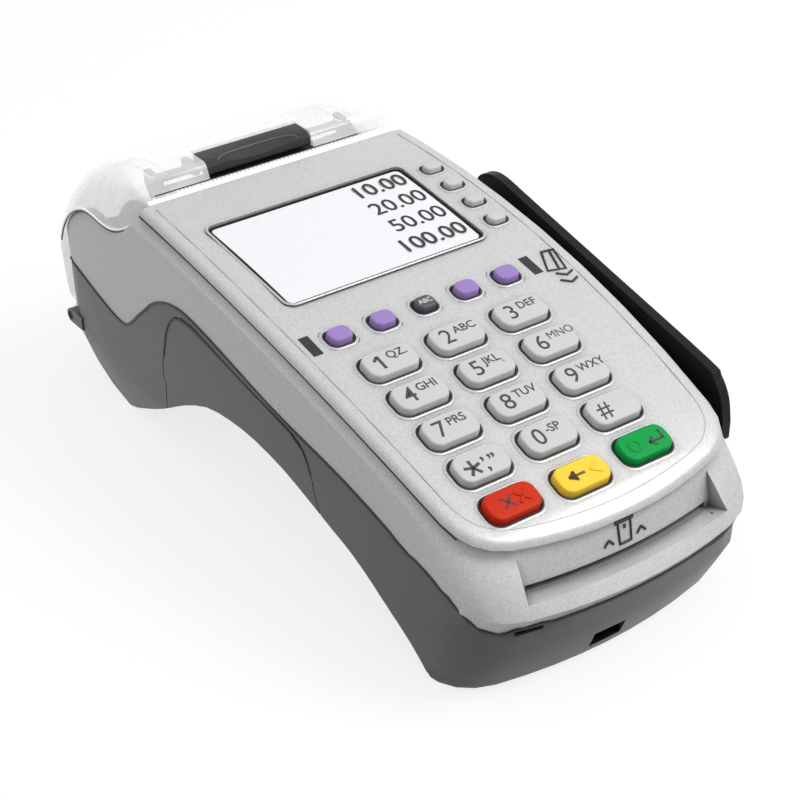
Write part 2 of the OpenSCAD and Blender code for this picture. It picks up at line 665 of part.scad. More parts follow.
frame_z = 48.4;
frame_t = 2;
module printer_frame() place() {
  color("DimGray") difference() {
    union() {
      translate([xc - 36, 45, frame_z]) cube([68.6, 11.4, frame_t]);
      for (u = [-36, 31]) translate([xc + u, 45, frame_z]) cube([1.6, 13.6, 18.4]);
      translate([xc - 36, 54.6, frame_z]) cube([68.6, 1.8, 16]);
      for (u = [-36, 29]) translate([xc + u, 46, main_z + board_t + fit])
        cube([3.6, 6, frame_z - main_z - board_t]);
    }
    along_x(xc + 28, xc + 40) translate([idler_y, idler_z]) circle(1.05, $fn = 24);
    along_x(xc + 28, xc + 40) translate([pinion_y, pinion_z]) circle(2.4, $fn = 32);
  }
}
module print_head() place() {
  color("Silver") translate([xc - 30, 56.5, 52]) difference() {
    cube([60, platen_y - platen_r - 0.3 - 56.5, 15.6]);
    translate([-1, 0.9, -1]) cube([62, 5, 8]);
  }
  color("Sienna") translate([xc - 28, 57.4, 53]) cube([56, 0.9, 6.2]);
}
module platen_roller() place() {
  color("Black") along_x(xc - 29.5, xc + 29.5) difference() {
    translate([platen_y, platen_z]) circle(platen_r, $fn = 72);
    translate([platen_y, platen_z]) circle(1.55, $fn = 32);
  }
}
module platen_shaft() place() {
  color("Silver") along_x(xc - 34, gear_x + gear_w + 0.6) translate([platen_y, platen_z]) circle(1.5, $fn = 32);
}

// Involute spur gear outline: n teeth, first tooth on the y axis of the sheet
function inv_pt(rb, t) = [rb * (cos(t) + t * PI / 180 * sin(t)), rb * (sin(t) - t * PI / 180 * cos(t))];
function turn(p, a) = [p.x * cos(a) - p.y * sin(a), p.x * sin(a) + p.y * cos(a)];
module gear_plan(n, bore) {
  rp = gear_m * n / 2;
  rb = rp * cos(20);
  ro = rp + 0.9 * gear_m;
  rr = rp - 1.25 * gear_m;
  tp = sqrt(rp * rp / (rb * rb) - 1) * 180 / PI;
  to = sqrt(ro * ro / (rb * rb) - 1) * 180 / PI;
  ip = tp - atan(tp * PI / 180);
  w = 90 / n * 0.88 + ip;
  flank = [for (i = [0:3]) inv_pt(rb, to * i / 3)];
  difference() {
    polygon([for (k = [0:n - 1]) each concat(
      [turn([rr, 0], k * 360 / n - w)],
      [for (q = flank) turn(q, k * 360 / n - w)],
      [for (i = [3:-1:0]) turn([flank[i].x, -flank[i].y], k * 360 / n + w)],
      [turn([rr, 0], k * 360 / n + w)])]);
    circle(bore, $fn = 32);
  }
}
module gear(y, z, n, a, bore, w) {
  along_x(gear_x, gear_x + w) translate([y, z]) rotate(a) gear_plan(n, bore);
}
idler_turn = idler_a + 180;
platen_turn = idler_a + 180 / platen_n;
lag = ((pinion_a - idler_turn) / (360 / idler_n)) - round((pinion_a - idler_turn) / (360 / idler_n));
pinion_turn = pinion_a + 180 + 180 / pinion_n + lag * 360 / pinion_n;
module platen_gear() place() { color("White") gear(platen_y, platen_z, platen_n, platen_turn, 1.53, gear_w); }
module idler_gear() place() {
  color("White") {
    gear(idler_y, idler_z, idler_n, idler_turn, 0.1, gear_w);
    along_x(xc + 30.4, gear_x + 0.5) translate([idler_y, idler_z]) circle(1, $fn = 24);
  }
}
module motor_pinion() place() {
  color("Goldenrod") {
    gear(pinion_y, pinion_z, pinion_n, pinion_turn, 0.1, gear_w);
    along_x(xc + 28.2, gear_x + 0.5) translate([pinion_y, pinion_z]) circle(0.9, $fn = 24);
  }
}
module feed_motor() place() {
  color("Silver") difference() {
    along_x(xc + 17, xc + 30.8) difference() {
      translate([pinion_y, pinion_z]) circle(5.4, $fn = 56);
      translate([pinion_y - 6, frame_z - 2]) square([12, frame_t + 2.05]);
    }
    along_x(xc + 28, xc + 40) translate([pinion_y, pinion_z]) circle(0.95, $fn = 24);
  }
}

module paper_tray() place() {
  color("DimGray") {
    along_x(xc - tray_half - 1.6, xc + tray_half + 1.6) intersection() {
      difference() {
        translate([roll_y, roll_z]) circle(tray_r + tray_t, $fn = 96);
        translate([roll_y, roll_z]) circle(tray_r, $fn = 96);
      }
      translate([roll_y - 40, roll_z - 40]) square([80, 38]);
    }
    for (d = [-1, 1]) along_x(xc + d * (tray_half + 0.8) - 0.8, xc + d * (tray_half + 0.8) + 0.8)
      intersection() {
        translate([roll_y, roll_z]) circle(tray_r + 0.5, $fn = 96);
        translate([roll_y - 40, roll_z - 40]) square([80, 38]);
      }
  }
}
module paper_roll() place() {
  color("White") along_x(xc - roll_w / 2, xc + roll_w / 2) difference() {
    translate([roll_y, roll_z - (tray_r - roll_r) + 0.2]) circle(roll_r, $fn = 96);
    translate([roll_y, roll_z - (tray_r - roll_r) + 0.2]) circle(6, $fn = 48);
  }
}

module socket_shell(s) {
  translate([xc + s[0] - s[1] / 2, bay_y - 16, socket_z]) cube([s[1], 15.8, socket_h]);
}
module network_socket() place() {
  s = sockets[1];
  color("Silver") difference() {
    socket_shell(s);
    translate([xc + s[0] - 5.9, bay_y - 13, socket_z + 1.2]) cube([11.8, 20, 6.6]);
  }
}
module phone_socket() place() {
  s = sockets[0];
  color("Black") difference() {
    socket_shell(s);
    translate([xc + s[0] - 4.9, bay_y - 12, socket_z + 1.2]) cube([9.8, 20, 6.6]);
  }
}
module power_socket() place() {
  s = sockets[2];
  color("Black") difference() {
    socket_shell(s);
    translate([xc + s[0], bay_y - 10, socket_z + 4.5]) rotate([-90, 0, 0]) cylinder(h = 20, r = 3, $fn = 40);
  }
  color("Silver") translate([xc + s[0], bay_y - 11, socket_z + 4.5]) rotate([-90, 0, 0])
    cylinder(h = 9.4, r = 1, $fn = 24);
}

module key_1() place() key_piece(num_key(0, 0), "LightGray");
module key_2() place() key_piece(num_key(1, 0), "LightGray");
module key_3() place() key_piece(num_key(2, 0), "LightGray");
module key_4() place() key_piece(num_key(0, 1), "LightGray");
module key_5() place() key_piece(num_key(1, 1), "LightGray");
module key_6() place() key_piece(num_key(2, 1), "LightGray");
module key_7() place() key_piece(num_key(0, 2), "LightGray");
module key_8() place() key_piece(num_key(1, 2), "LightGray");
module key_9() place() key_piece(num_key(2, 2), "LightGray");
module key_star() place() key_piece(num_key(0, 3), "LightGray");
module key_0() place() key_piece(num_key(1, 3), "LightGray");
module key_hash() place() key_piece(num_key(2, 3), "LightGray");
module cancel_key() place() key_piece(act_key(0), "OrangeRed");
module clear_key() place() key_piece(act_key(1), "Gold");
module enter_key() place() key_piece(act_key(2), "MediumSeaGreen");
module function_key_1() place() key_piece(fn_key(0), "MediumPurple");
module function_key_2() place() key_piece(fn_key(1), "MediumPurple");
module letter_key() place() key_piece(fn_key(2), "DimGray");
module function_key_3() place() key_piece(fn_key(3), "MediumPurple");
module function_key_4() place() key_piece(fn_key(4), "MediumPurple");
module screen_key_1() place() key_piece(pick_key(3), "Gray");
module screen_key_2() place() key_piece(pick_key(2), "Gray");
module screen_key_3() place() key_piece(pick_key(1), "Gray");
module screen_key_4() place() key_piece(pick_key(0), "Gray");

top_housing();
base_housing();
underside_door();
swipe_rail();
paper_cover();
cover_frame();
cover_latch();
latch_pin();
hinge_pin();
tear_bar();
display_bezel();
display_lens();
display_panel();
key_1();
key_2();
key_3();
key_4();
key_5();
key_6();
key_7();
key_8();
key_9();
key_star();
key_0();
key_hash();
cancel_key();
clear_key();
enter_key();
function_key_1();
function_key_2();
function_key_3();
function_key_4();
letter_key();
screen_key_1();
screen_key_2();
screen_key_3();
screen_key_4();
keypad_mat();
keypad_board();
main_board();
card_reader();
stripe_head();
buzzer();
backup_cell();
printer_frame();
print_head();
platen_roller();
platen_shaft();
platen_gear();
idler_gear();
motor_pinion();
feed_motor();
paper_tray();
paper_roll();
power_socket();
network_socket();
phone_socket();
rubber_feet();
case_screws();
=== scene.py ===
"""Dresses a counter-top payment terminal: case, keys, display, receipt printer and swipe rail."""

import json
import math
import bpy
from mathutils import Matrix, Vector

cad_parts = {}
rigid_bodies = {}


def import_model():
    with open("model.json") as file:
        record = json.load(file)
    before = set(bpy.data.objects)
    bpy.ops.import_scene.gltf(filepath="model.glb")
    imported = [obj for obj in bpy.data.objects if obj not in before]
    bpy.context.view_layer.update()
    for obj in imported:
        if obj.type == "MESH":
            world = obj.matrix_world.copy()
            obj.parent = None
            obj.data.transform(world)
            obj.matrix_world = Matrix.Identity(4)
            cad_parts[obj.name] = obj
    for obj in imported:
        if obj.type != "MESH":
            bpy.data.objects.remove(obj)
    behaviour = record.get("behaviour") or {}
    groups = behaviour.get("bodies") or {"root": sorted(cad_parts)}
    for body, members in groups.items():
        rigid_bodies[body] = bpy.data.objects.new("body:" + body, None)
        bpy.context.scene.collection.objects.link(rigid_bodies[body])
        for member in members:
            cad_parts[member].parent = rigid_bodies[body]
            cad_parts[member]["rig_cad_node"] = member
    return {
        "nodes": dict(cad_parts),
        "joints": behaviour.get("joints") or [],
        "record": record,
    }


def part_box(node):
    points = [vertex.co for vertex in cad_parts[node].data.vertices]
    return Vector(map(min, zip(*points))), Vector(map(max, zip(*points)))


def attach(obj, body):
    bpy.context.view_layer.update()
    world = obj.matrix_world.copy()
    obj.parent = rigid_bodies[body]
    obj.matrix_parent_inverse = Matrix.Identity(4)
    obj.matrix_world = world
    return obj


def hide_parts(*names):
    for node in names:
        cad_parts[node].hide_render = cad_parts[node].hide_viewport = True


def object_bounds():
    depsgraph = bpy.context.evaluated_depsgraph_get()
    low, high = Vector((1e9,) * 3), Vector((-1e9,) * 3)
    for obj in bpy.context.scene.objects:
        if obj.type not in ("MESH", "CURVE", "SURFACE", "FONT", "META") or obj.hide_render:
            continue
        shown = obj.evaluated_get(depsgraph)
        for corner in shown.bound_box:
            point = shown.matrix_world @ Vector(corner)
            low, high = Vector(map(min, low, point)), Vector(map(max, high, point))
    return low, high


bl_info = {
    "name": "Payment terminal dressing",
    "version": (1, 0, 0),
    "blender": (4, 5, 0),
    "location": "3D View > Sidebar > Terminal",
    "description": "Builds the looks of a counter-top payment terminal around its packed solids",
    "category": "Object",
}

import bpy
from mathutils import Matrix, Vector

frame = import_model()
CAD_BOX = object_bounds()
MM = 0.001
WHITE = (1, 1, 1, 1)
RIGHT, BACK, UP = Vector((1, 0, 0)), Vector((0, 1, 0)), Vector((0, 0, 1))
OUTSIDE = 5 * MM  # how far outside the part's box a line of sight starts

# Legends: the large sign and the small letters at its upper right
NUMBER_LEGENDS = {
    "key_1": ("1", "QZ."), "key_2": ("2", "ABC"), "key_3": ("3", "DEF"),
    "key_4": ("4", "GHI"), "key_5": ("5", "JKL"), "key_6": ("6", "MNO"),
    "key_7": ("7", "PRS"), "key_8": ("8", "TUV"), "key_9": ("9", "WXY"),
    "key_star": ("*", ""), "key_0": ("0", "-SP"), "key_hash": ("#", ""),
}
ACTION_KEYS = ("cancel_key", "clear_key", "enter_key")
FUNCTION_KEYS = tuple(f"function_key_{i}" for i in range(1, 5))
SCREEN_KEYS = tuple(f"screen_key_{i}" for i in range(1, 5))
AMOUNTS = ("10.00", "20.00", "50.00", "100.00")

# Strokes of the signs on the keys, in millimetres from the middle of a key's top
ONE_SIGN = [((-2.7, -2.1), (-2.7, 2.1)), ((-4.1, 1.0), (-2.8, 2.1))]
ARROW_LEFT = [((-4.0, 0), (0.6, 0)), ((-4.0, 0), (-2.2, 1.2)), ((-2.2, 1.2), (-2.2, -1.2)),
              ((-4.0, 0), (-2.2, -1.2)), ((-3.4, 0.1), (-2.4, 0.6)), ((-3.4, -0.1), (-2.4, -0.6))]
ANGLE_LEFT = [((2.6, 0), (5.0, 1.5)), ((2.6, 0), (5.0, -1.5))]
ARROW_RETURN = [((1.0, -0.8), (5.2, -0.8)), ((5.2, -0.8), (5.2, 1.6)), ((1.0, -0.8), (2.4, 0.4)),
                ((1.0, -0.8), (2.4, -2.0))]

# Lines of the card signs in millimetres: one on the face as x, y, the other on the front as x, z
SWIPE_SIGN = [[(35.2, -18.1), (38.9, -18.6), (36.9, -26.4), (31.7, -25.2), (35.2, -18.1)],
              [(37.4, -18.9), (35.2, -25.5)],
              [(33.0, -26.9), (35.4, -28.6), (37.9, -27.7)],
              [(32.4, -29.6), (34.9, -31.4), (37.4, -30.4)]]
CHIP_SIGN = [[(-3.9, 36.2), (-3.7, 30.8), (-0.1, 30.8), (0.1, 36.2)],
             [(-4.7, 36.3), (0.9, 36.3)], [(-4.7, 36.7), (0.9, 36.7)], [(-4.7, 37.1), (0.9, 37.1)],
             [(-2.2, 35.2), (-1.6, 35.2)], [(-2.2, 34.7), (-1.6, 34.7)],
             [(-8.4, 31.6), (-7.0, 33.0), (-5.6, 31.6)], [(1.8, 31.6), (3.2, 33.0), (4.6, 31.6)]]

# Plan of the face in millimetres: its middle, half width, front edge and corner round, how far its sides and
# its front bow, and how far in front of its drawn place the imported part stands
FACE_MIDDLE, FACE_HALF, FACE_FRONT, FACE_CORNER = -2.25, 43.4, -94.5, 10.0
SIDE_BOW, FRONT_BOW, PACK_SHIFT = 5.0, 6.5, 3.3

# The camera, worked out from the grid of the keys: place in metres, tilt and heading in degrees, lens in mm
CAMERA_PLACE, CAMERA_TILT, CAMERA_HEADING = (-0.26778, -0.36862, 0.31301), 57.273, -36.204
CAMERA_LENS, CAMERA_SENSOR = 88.84, 36.0


def linear(code):
    """An sRGB hex colour as linear RGBA."""
    parts = [int(code[i:i + 2], 16) / 255 for i in (1, 3, 5)]
    return tuple(p / 12.92 if p <= 0.04045 else ((p + 0.055) / 1.055) ** 2.4 for p in parts) + (1.0,)


def length(name, description, millimetres):
    """A size that a user may change, shown in the scene's length unit."""
    return bpy.props.FloatProperty(
        name=name, description=description, default=millimetres * MM, min=0.0, precision=5,
        subtype="DISTANCE", unit="LENGTH")


def tone(name, description, code):
    """A colour that a user may change."""
    return bpy.props.FloatVectorProperty(
        name=name, description=description, subtype="COLOR", size=4, min=0.0, max=1.0,
        default=linear(code))


class TerminalSizes(bpy.types.PropertyGroup):
    """Sizes of the small work on the case and the keys."""

    key_rise: length("Key rise", "Height of the number keys over the face", 2.0)
    key_depth: length("Key depth", "Depth of a key cap below its top", 4.0)
    key_round: length("Key edge round", "Round along the top edge of a key", 0.55)
    number_corner: length("Number key corner", "Corner round of a number key in plan", 2.9)
    small_corner: length("Small key corner", "Corner round of a small key in plan", 2.0)
    key_inset: length("Key inset", "Distance of a large cap inside its solid", 0.6)
    small_inset: length("Small key inset", "Distance of a small cap inside its solid", 0.8)
    key_draft: length("Key draft", "How much a cap draws in from its foot to its top, each side", 0.3)
    opening_gap: length("Opening gap", "Gap between a key and its opening", 0.5)
    rim_width: length("Rim width", "Width of the raised rim round an opening", 0.7)
    rim_apron: length("Rim apron", "Flat border outside the raised rim of a key", 0.2)
    rim_rise: length("Rim rise", "Height of the rim round an opening", 0.18)
    print_lift: length("Print thickness", "Thickness of printed ink", 0.03)
    digit_size: length("Digit size", "Type size of the large signs on the keys", 7.0)
    letter_size: length("Letter size", "Type size of the small letters on the keys", 3.5)
    amount_size: length("Amount size", "Type size of the amounts on the display", 8.0)
    mark_rise: length("Mark rise", "Height of the raised marks on the coloured keys", 0.3)
    # The fine line is drawn in grey: painted shade of an engraved line
    line_width: length("Face line width", "Width of the fine line inside the edge of the face", 0.15)
    line_inset: length("Face line inset", "Distance of the fine line from the edge of the face", 2.0)
    sign_width: length("Sign stroke", "Stroke of the card signs", 0.7)
    # The next four sizes are of dark beads that are painted shade: in the groove under the rim, in the seam
    # of the case and round the underside panel
    groove_bead: length("Groove gasket", "Radius of the gasket in the groove under the rim", 0.65)
    seam_bead: length("Seam gasket", "Radius of the gasket in the seams of the case", 0.42)
    panel_bead: length("Panel gasket", "Radius of the gasket round the underside panel", 0.3)
    panel_top_bead: length("Panel top gasket", "Radius of the gasket over the underside panel", 0.55)
    # The bright bead on the edge of the cover is a painted highlight
    cover_bead: length("Cover edge", "Radius of the bright bead along the edge of the printer cover", 0.35)
    lip_bead: length("Cover lip", "Radius of the clear lip along the front of the printer cover", 0.6)
    # The ridge of the catch is drawn lighter than the catch: a painted highlight behind the finger scoop
    scoop_bead: length("Catch ridge", "Radius of the ridge behind the finger scoop of the catch", 0.4)
    # The dark plates in the front hole and the seam notches are painted shade
    shade_sink: length("Liner depth", "Depth of the dark shade_plates in the front hole and the seam notches", 0.8)


class TerminalColours(bpy.types.PropertyGroup):
    """Colours of the mouldings, keys and prints."""

    silver: tone("Silver", "Metallic paint of the upper moulding", "#c8c8c8")
    base: tone("Base", "Dark lower moulding", "#6b6b6c")
    rail: tone("Rail", "Black swipe rail and window frame", "#131314")
    key_grey: tone("Number keys", "Grey number keys", "#c6c6c6")
    key_purple: tone("Purple keys", "Keys under the display", "#9c80bf")
    key_dark: tone("Dark key", "Key for letters", "#4a4a52")
    key_red: tone("Red key", "Cancel key", "#c92d0d")
    key_yellow: tone("Yellow key", "Clear key", "#fbd043")
    key_green: tone("Green key", "Enter key", "#009a44")
    ink: tone("Ink", "Printed signs", "#3b3b3f")
    latch: tone("Latch", "Catch of the printer cover", "#1c1c1d")


def sizes():
    return bpy.context.scene.terminal_sizes


def colours():
    return bpy.context.scene.terminal_colours


# Node materials


def add(tree, kind, settings=None, links=None):
    """Adds a node: settings by socket or property, links from a socket to the output it reads."""
    node = tree.nodes.new(kind)
    for key, value in (settings or {}).items():
        if isinstance(key, int) or key in node.inputs:
            node.inputs[key].default_value = value
        else:
            setattr(node, key, value)
    for key, source in (links or {}).items():
        tree.links.new(source, node.inputs[key])
    return node


def bare(owner):
    """The empty node tree of a material or a world."""
    owner.use_nodes = True
    owner.node_tree.nodes.clear()
    return owner.node_tree


def begin(name, settings):
    """A new material: its tree, its surface shader and the piece's own place."""
    material = bpy.data.materials.new(name)
    tree = bare(material)
    shader = add(tree, "ShaderNodeBsdfPrincipled", settings)
    add(tree, "ShaderNodeOutputMaterial", links={"Surface": shader.outputs[0]})
    place = add(tree, "ShaderNodeTexCoord").outputs["Object"]
    return material, tree, shader, place


def shade(colour, factor):
    """A colour made lighter or darker."""
    return tuple(min(1.0, c * factor) for c in colour[:3]) + (1.0,)


def chosen(colour):
    """A colour from its hex code, or the one that the user has set under a name."""
    return linear(colour) if colour.startswith("#") else tuple(getattr(colours(), colour))


def noise(tree, place, grain, detail=2.0):
    """Soft noise with a grain in millimetres."""
    return add(tree, "ShaderNodeTexNoise", {"Scale": 1 / (grain * MM), "Detail": detail},
               {"Vector": place}).outputs["Fac"]


def spread(tree, value, low, high):
    """A value from 0 to 1, spread between two others."""
    return add(tree, "ShaderNodeMapRange", {"To Min": low, "To Max": high}, {"Value": value}).outputs[0]


def blend(tree, factor, first, second):
    """A colour between two others."""
    return add(tree, "ShaderNodeMix", {"data_type": "RGBA", 6: first, 7: second}, {0: factor}).outputs[2]


def relief(tree, height, strength, rise):
    """A bump that follows a height, with its rise in millimetres."""
    return add(tree, "ShaderNodeBump", {"Strength": strength, "Distance": rise * MM},
               {"Height": height}).outputs[0]


def shadowed(tree, colour, reach):
    """A colour that sinks into shade in grooves, slots and corners."""
    return add(tree, "ShaderNodeAmbientOcclusion", {"samples": 6, "Distance": reach * MM},
               {"Color": colour}).outputs["Color"]


def wire(tree, shader, links):
    """Links outputs to the sockets of a surface shader."""
    for socket, source in links.items():
        tree.links.new(source, shader.inputs[socket])


def moulded(name, colour, grain, rough, bump, settings=None, vary=0.05, reach=0):
    """Moulded plastic: a spark-eroded texture that breaks the gloss into a fine soft grain."""
    material, tree, shader, place = begin(name, {"IOR": 1.5, **(settings or {})})
    cloud, uneven = 24, 0.07
    fine = noise(tree, place, grain, 3.0)
    tint = blend(tree, noise(tree, place, cloud), shade(colour, 1 - vary), shade(colour, 1 + vary))
    wire(tree, shader, {"Base Color": shadowed(tree, tint, reach) if reach else tint,
                        "Roughness": spread(tree, fine, rough - uneven, rough + uneven),
                        "Normal": relief(tree, fine, bump, 0.05)})
    return material


def silver_paint():
    """Sprayed metallic lacquer on ABS: a satin shine that follows the bow, with flakes as a fine grain.
    The flakes are drawn at 0.25 mm, several times their real size, so that they show."""
    silver = chosen("silver")
    material, tree, shader, place = begin("Metallic lacquer on ABS, sprayed", {
        "Metallic": 0.3, "IOR": 1.4, "Coat Weight": 0.1, "Coat Roughness": 0.25})
    flakes = add(tree, "ShaderNodeTexVoronoi", {"Scale": 1 / (0.25 * MM)}, {"Vector": place})
    parts = add(tree, "ShaderNodeSeparateColor", links={"Color": flakes.outputs["Color"]}).outputs
    tint = blend(tree, parts[0], shade(silver, 0.88), shade(silver, 1.12))
    wire(tree, shader, {"Base Color": shadowed(tree, tint, 3.5),
                        "Roughness": spread(tree, parts[1], 0.34, 0.46)})
    return material


def frosted_cover():
    """Polycarbonate moulded with a fine frost: milky, with a painted glow, a faint white emission that
    stands in for the light that the frost scatters.
    """
    material, tree, shader, place = begin("Polycarbonate, frosted clear", {
        "Base Color": linear("#f9fafb"), "IOR": 1.5, "Coat Weight": 0.6, "Coat Roughness": 0.06,
        "Emission Color": linear("#ffffff"), "Emission Strength": 0.2})
    frost = noise(tree, place, 5)
    wire(tree, shader, {"Roughness": spread(tree, frost, 0.12, 0.24),
                        "Alpha": spread(tree, frost, 0.26, 0.42),
                        "Normal": relief(tree, frost, 0.1, 0.1)})
    return material


def clear_sheet():
    """Cast acrylic with a hard coat: almost nothing but a thin shine, with faint dust."""
    material, tree, shader, place = begin("Acrylic sheet, hard coated", {
        "Base Color": linear("#ffffff"), "IOR": 1.49})
    dust = noise(tree, place, 6, 4.0)
    wire(tree, shader, {"Alpha": spread(tree, dust, 0.01, 0.03), "Roughness": spread(tree, dust, 0.04, 0.1)})
    return material


def display_glass():
    """Liquid crystal glass with its white backlight on: an even pale field of fine square cells.
    The cells are drawn at 0.5 mm, about twice their real pitch."""
    material, tree, shader, place = begin("Liquid crystal glass, lit", {
        "Roughness": 0.2, "IOR": 1.52, "Emission Strength": 0.12})
    cells = add(tree, "ShaderNodeTexBrick", {
        "Scale": 1.0, "Mortar Size": 0.03 * MM, "Brick Width": 0.5 * MM, "Row Height": 0.5 * MM,
        "offset": 0.0, "Color1": linear("#dfe0e3"), "Color2": linear("#e2e3e6"),
        "Mortar": linear("#d5d7da")}, {"Vector": place}).outputs["Color"]
    wire(tree, shader, {"Base Color": cells, "Emission Color": cells})
    return material


def brushed(name, colour, rough):
    """Rolled metal strip: fine lines along its length stretch the highlights across it."""
    material, tree, shader, place = begin(name, {"Metallic": 1.0})
    along = add(tree, "ShaderNodeMapping", {"Scale": (1 / (8 * MM), 1 / (0.3 * MM), 1 / (0.3 * MM))},
                {"Vector": place})
    lines = add(tree, "ShaderNodeTexNoise", {"Scale": 1.0, "Detail": 2.0},
                {"Vector": along.outputs[0]}).outputs["Fac"]
    wire(tree, shader, {"Base Color": blend(tree, lines, shade(colour, 0.88), shade(colour, 1.08)),
                        "Roughness": spread(tree, lines, rough - 0.06, rough + 0.08)})
    return material


def receipt_paper():
    """Wound thermal paper: smooth white wraps, with the edges of the turns as fine rings on its ends."""
    material, tree, shader, place = begin("Thermal paper, calendered and wound", {"Roughness": 0.65})
    middle = sum(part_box("paper_roll"), Vector()) / 2
    centred = add(tree, "ShaderNodeMapping", {"Location": tuple(-middle)}, {"Vector": place})
    turns = add(tree, "ShaderNodeTexWave", {
        "wave_type": "RINGS", "rings_direction": "X", "Scale": 1 / (24 * MM), "Distortion": 0.4},
        {"Vector": centred.outputs[0]})
    tint = blend(tree, turns.outputs["Fac"], linear("#e4e4e0"), linear("#f6f6f3"))
    wire(tree, shader, {"Base Color": tint})
    return material


def circuit_board():
    """Glass-epoxy laminate under green solder mask: copper runs show as paler raised lines."""
    material, tree, shader, place = begin("Glass-epoxy board, solder masked", {
        "Roughness": 0.35, "IOR": 1.55})
    runs = add(tree, "ShaderNodeTexBrick", {
        "Scale": 1.0, "Mortar Size": 0.25 * MM, "Brick Width": 7 * MM, "Row Height": 1.6 * MM,
        "Color1": linear("#1d5a34"), "Color2": linear("#205f38"), "Mortar": linear("#3f8a57")},
        {"Vector": place})
    wire(tree, shader, {"Base Color": runs.outputs["Color"],
                        "Normal": relief(tree, runs.outputs["Fac"], 0.3, 0.05)})
    return material


MATT = {"Specular IOR Level": 0.15}
SATIN = {"Specular IOR Level": 0.35}
# A faint white emission: painted light, for the bright bead on the edge of the cover
PAINTED_LIGHT = {"Emission Color": WHITE, "Emission Strength": 0.2}

# Moulded finishes: the material, its colour as a code or a name among the user's colours, the grain in
# millimetres, roughness and bump, then shader settings, variation and reach of the shade where they differ
MOULDED = {
    "dark_shell": ("ABS, dark grey, spark-eroded", "base", 0.5, 0.37, 0.1, SATIN, 0.05, 6),
    "black_plastic": ("ABS, black, fine texture", "rail", 0.4, 0.4, 0.1, MATT),
    # A white glowing bead along the edge of the cover: painted highlight
    "bright_edge": ("Polycarbonate, clear edge", "#ffffff", 0.5, 0.2, 0.02, PAINTED_LIGHT),
    "latch_grey": ("Acetal, grey, moulded", "latch", 0.5, 0.36, 0.1),
    "key_grey": ("Silicone rubber, grey, coated", "key_grey", 0.35, 0.5, 0.08, None, 0.02),
    "key_dark": ("Silicone rubber, charcoal, coated", "key_dark", 0.35, 0.45, 0.08),
    **{f"key_{tint}": (f"Silicone rubber, {tint}, coated", f"key_{tint}", 0.35, 0.45, 0.08, MATT)
       for tint in ("purple", "red", "yellow", "green")},
    # A dark grey bead for the groove under the rim: painted shade
    "gasket": ("Silicone cord, dark grey", "#353537", 0.4, 0.5, 0.05),
    # Rubber for the rubber parts, and for the dark rings in the key gaps, which are painted shade
    "rubber": ("Nitrile rubber, ground", "#2b2b2c", 0.3, 0.75, 0.25),
    "bright_strip": ("Stainless steel strip, bead blasted", "#f7f7f5", 0.3, 0.4, 0.05, {"Metallic": 0.35}),
    "white_acetal": ("Acetal, white, moulded", "#e9e8e2", 0.5, 0.4, 0.06),
    # Black for the prints, and for the beads and plates that are painted shade in seams, gaps and holes
    "ink_black": ("Screen ink, black", "#161618", 0.3, 0.45, 0.05),
    # The ink_pale entry is no print: it colours the painted shade of the engraved line inside the edge of
    # the face
    **{name: (f"Screen ink, {tint}", colour, 0.3, 0.5, 0.05) for name, tint, colour in (
        ("ink", "grey", "ink"), ("ink_pale", "pale grey", "#a9a9ab"), ("ink_red", "maroon", "#5e1710"),
        ("ink_brown", "brown", "#6a4a16"), ("ink_green", "deep green", "#063d22"))},
}
# Brushed finishes: the material, its colour and its roughness
BRUSHED = {
    "steel": ("Stainless steel strip, rolled", "#d9dadb", 0.28),
    "brass": ("Brass rod, turned", "#d6b25e", 0.3),
}
SPECIAL = {
    "silver_shell": silver_paint, "frosted_clear": frosted_cover, "clear_sheet": clear_sheet,
    "display_glass": display_glass, "circuit_board": circuit_board, "paper": receipt_paper,
}
made = {}


def finish(name):
    """The material of a finish, made when it is first asked for."""
    if name not in made:
        if name in SPECIAL:
            made[name] = SPECIAL[name]()
        else:
            make, table = (moulded, MOULDED) if name in MOULDED else (brushed, BRUSHED)
            title, colour, *rest = table[name]
            made[name] = make(title, chosen(colour), *rest)
    return made[name]


# Modelling by hand


def mode(name):
    """Goes into object or edit mode."""
    bpy.ops.object.mode_set(mode=name)


def alone(*pieces):
    """Selects only these pieces, the first one active, in object mode."""
    if bpy.context.object and bpy.context.object.mode != "OBJECT":
        mode("OBJECT")
    bpy.ops.object.select_all(action="DESELECT")
    for piece in pieces:
        piece.select_set(True)
    if pieces:
        bpy.context.view_layer.objects.active = pieces[0]


def pick(kind, test):
    """In edit mode, selects the edges or faces that pass a test."""
    mesh = bpy.context.object.data
    bpy.ops.mesh.select_mode(type=kind)
    bpy.ops.mesh.select_all(action="DESELECT")
    mode("OBJECT")
    for part in mesh.edges if kind == "EDGE" else mesh.polygons:
        part.select = test(part, mesh)
    mode("EDIT")


def dressed(piece, name, body, finish_name, nodes=()):
    """Names a piece, gives it its finish and lets it ride on a body."""
    alone(piece)
    piece.name = name
    piece.data.name = name
    piece.data.materials.clear()
    piece.data.materials.append(finish(finish_name))
    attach(piece, body)
    if nodes:
        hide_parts(*nodes)
    return piece


def placed(piece, matrix):
    """Moves a piece that was modelled flat at the origin to its place and writes that into its mesh."""
    alone(piece)
    piece.matrix_world = matrix
    bpy.ops.object.transform_apply(location=True, rotation=True, scale=True)
    return piece


def joined(pieces):
    """Makes one piece of several."""
    alone(*pieces)
    if len(pieces) > 1:
        bpy.ops.object.join()
    return bpy.context.object


def twin(piece):
    """A copy of a piece with a mesh of its own."""
    alone(piece)
    bpy.ops.object.duplicate(linked=False)
    return bpy.context.object


def discard(pieces):
    """Deletes models that were made only to be copied."""
    alone(*pieces)
    bpy.ops.object.delete()


def everything():
    """In edit mode, selects the whole piece."""
    bpy.ops.mesh.select_all(action="SELECT")


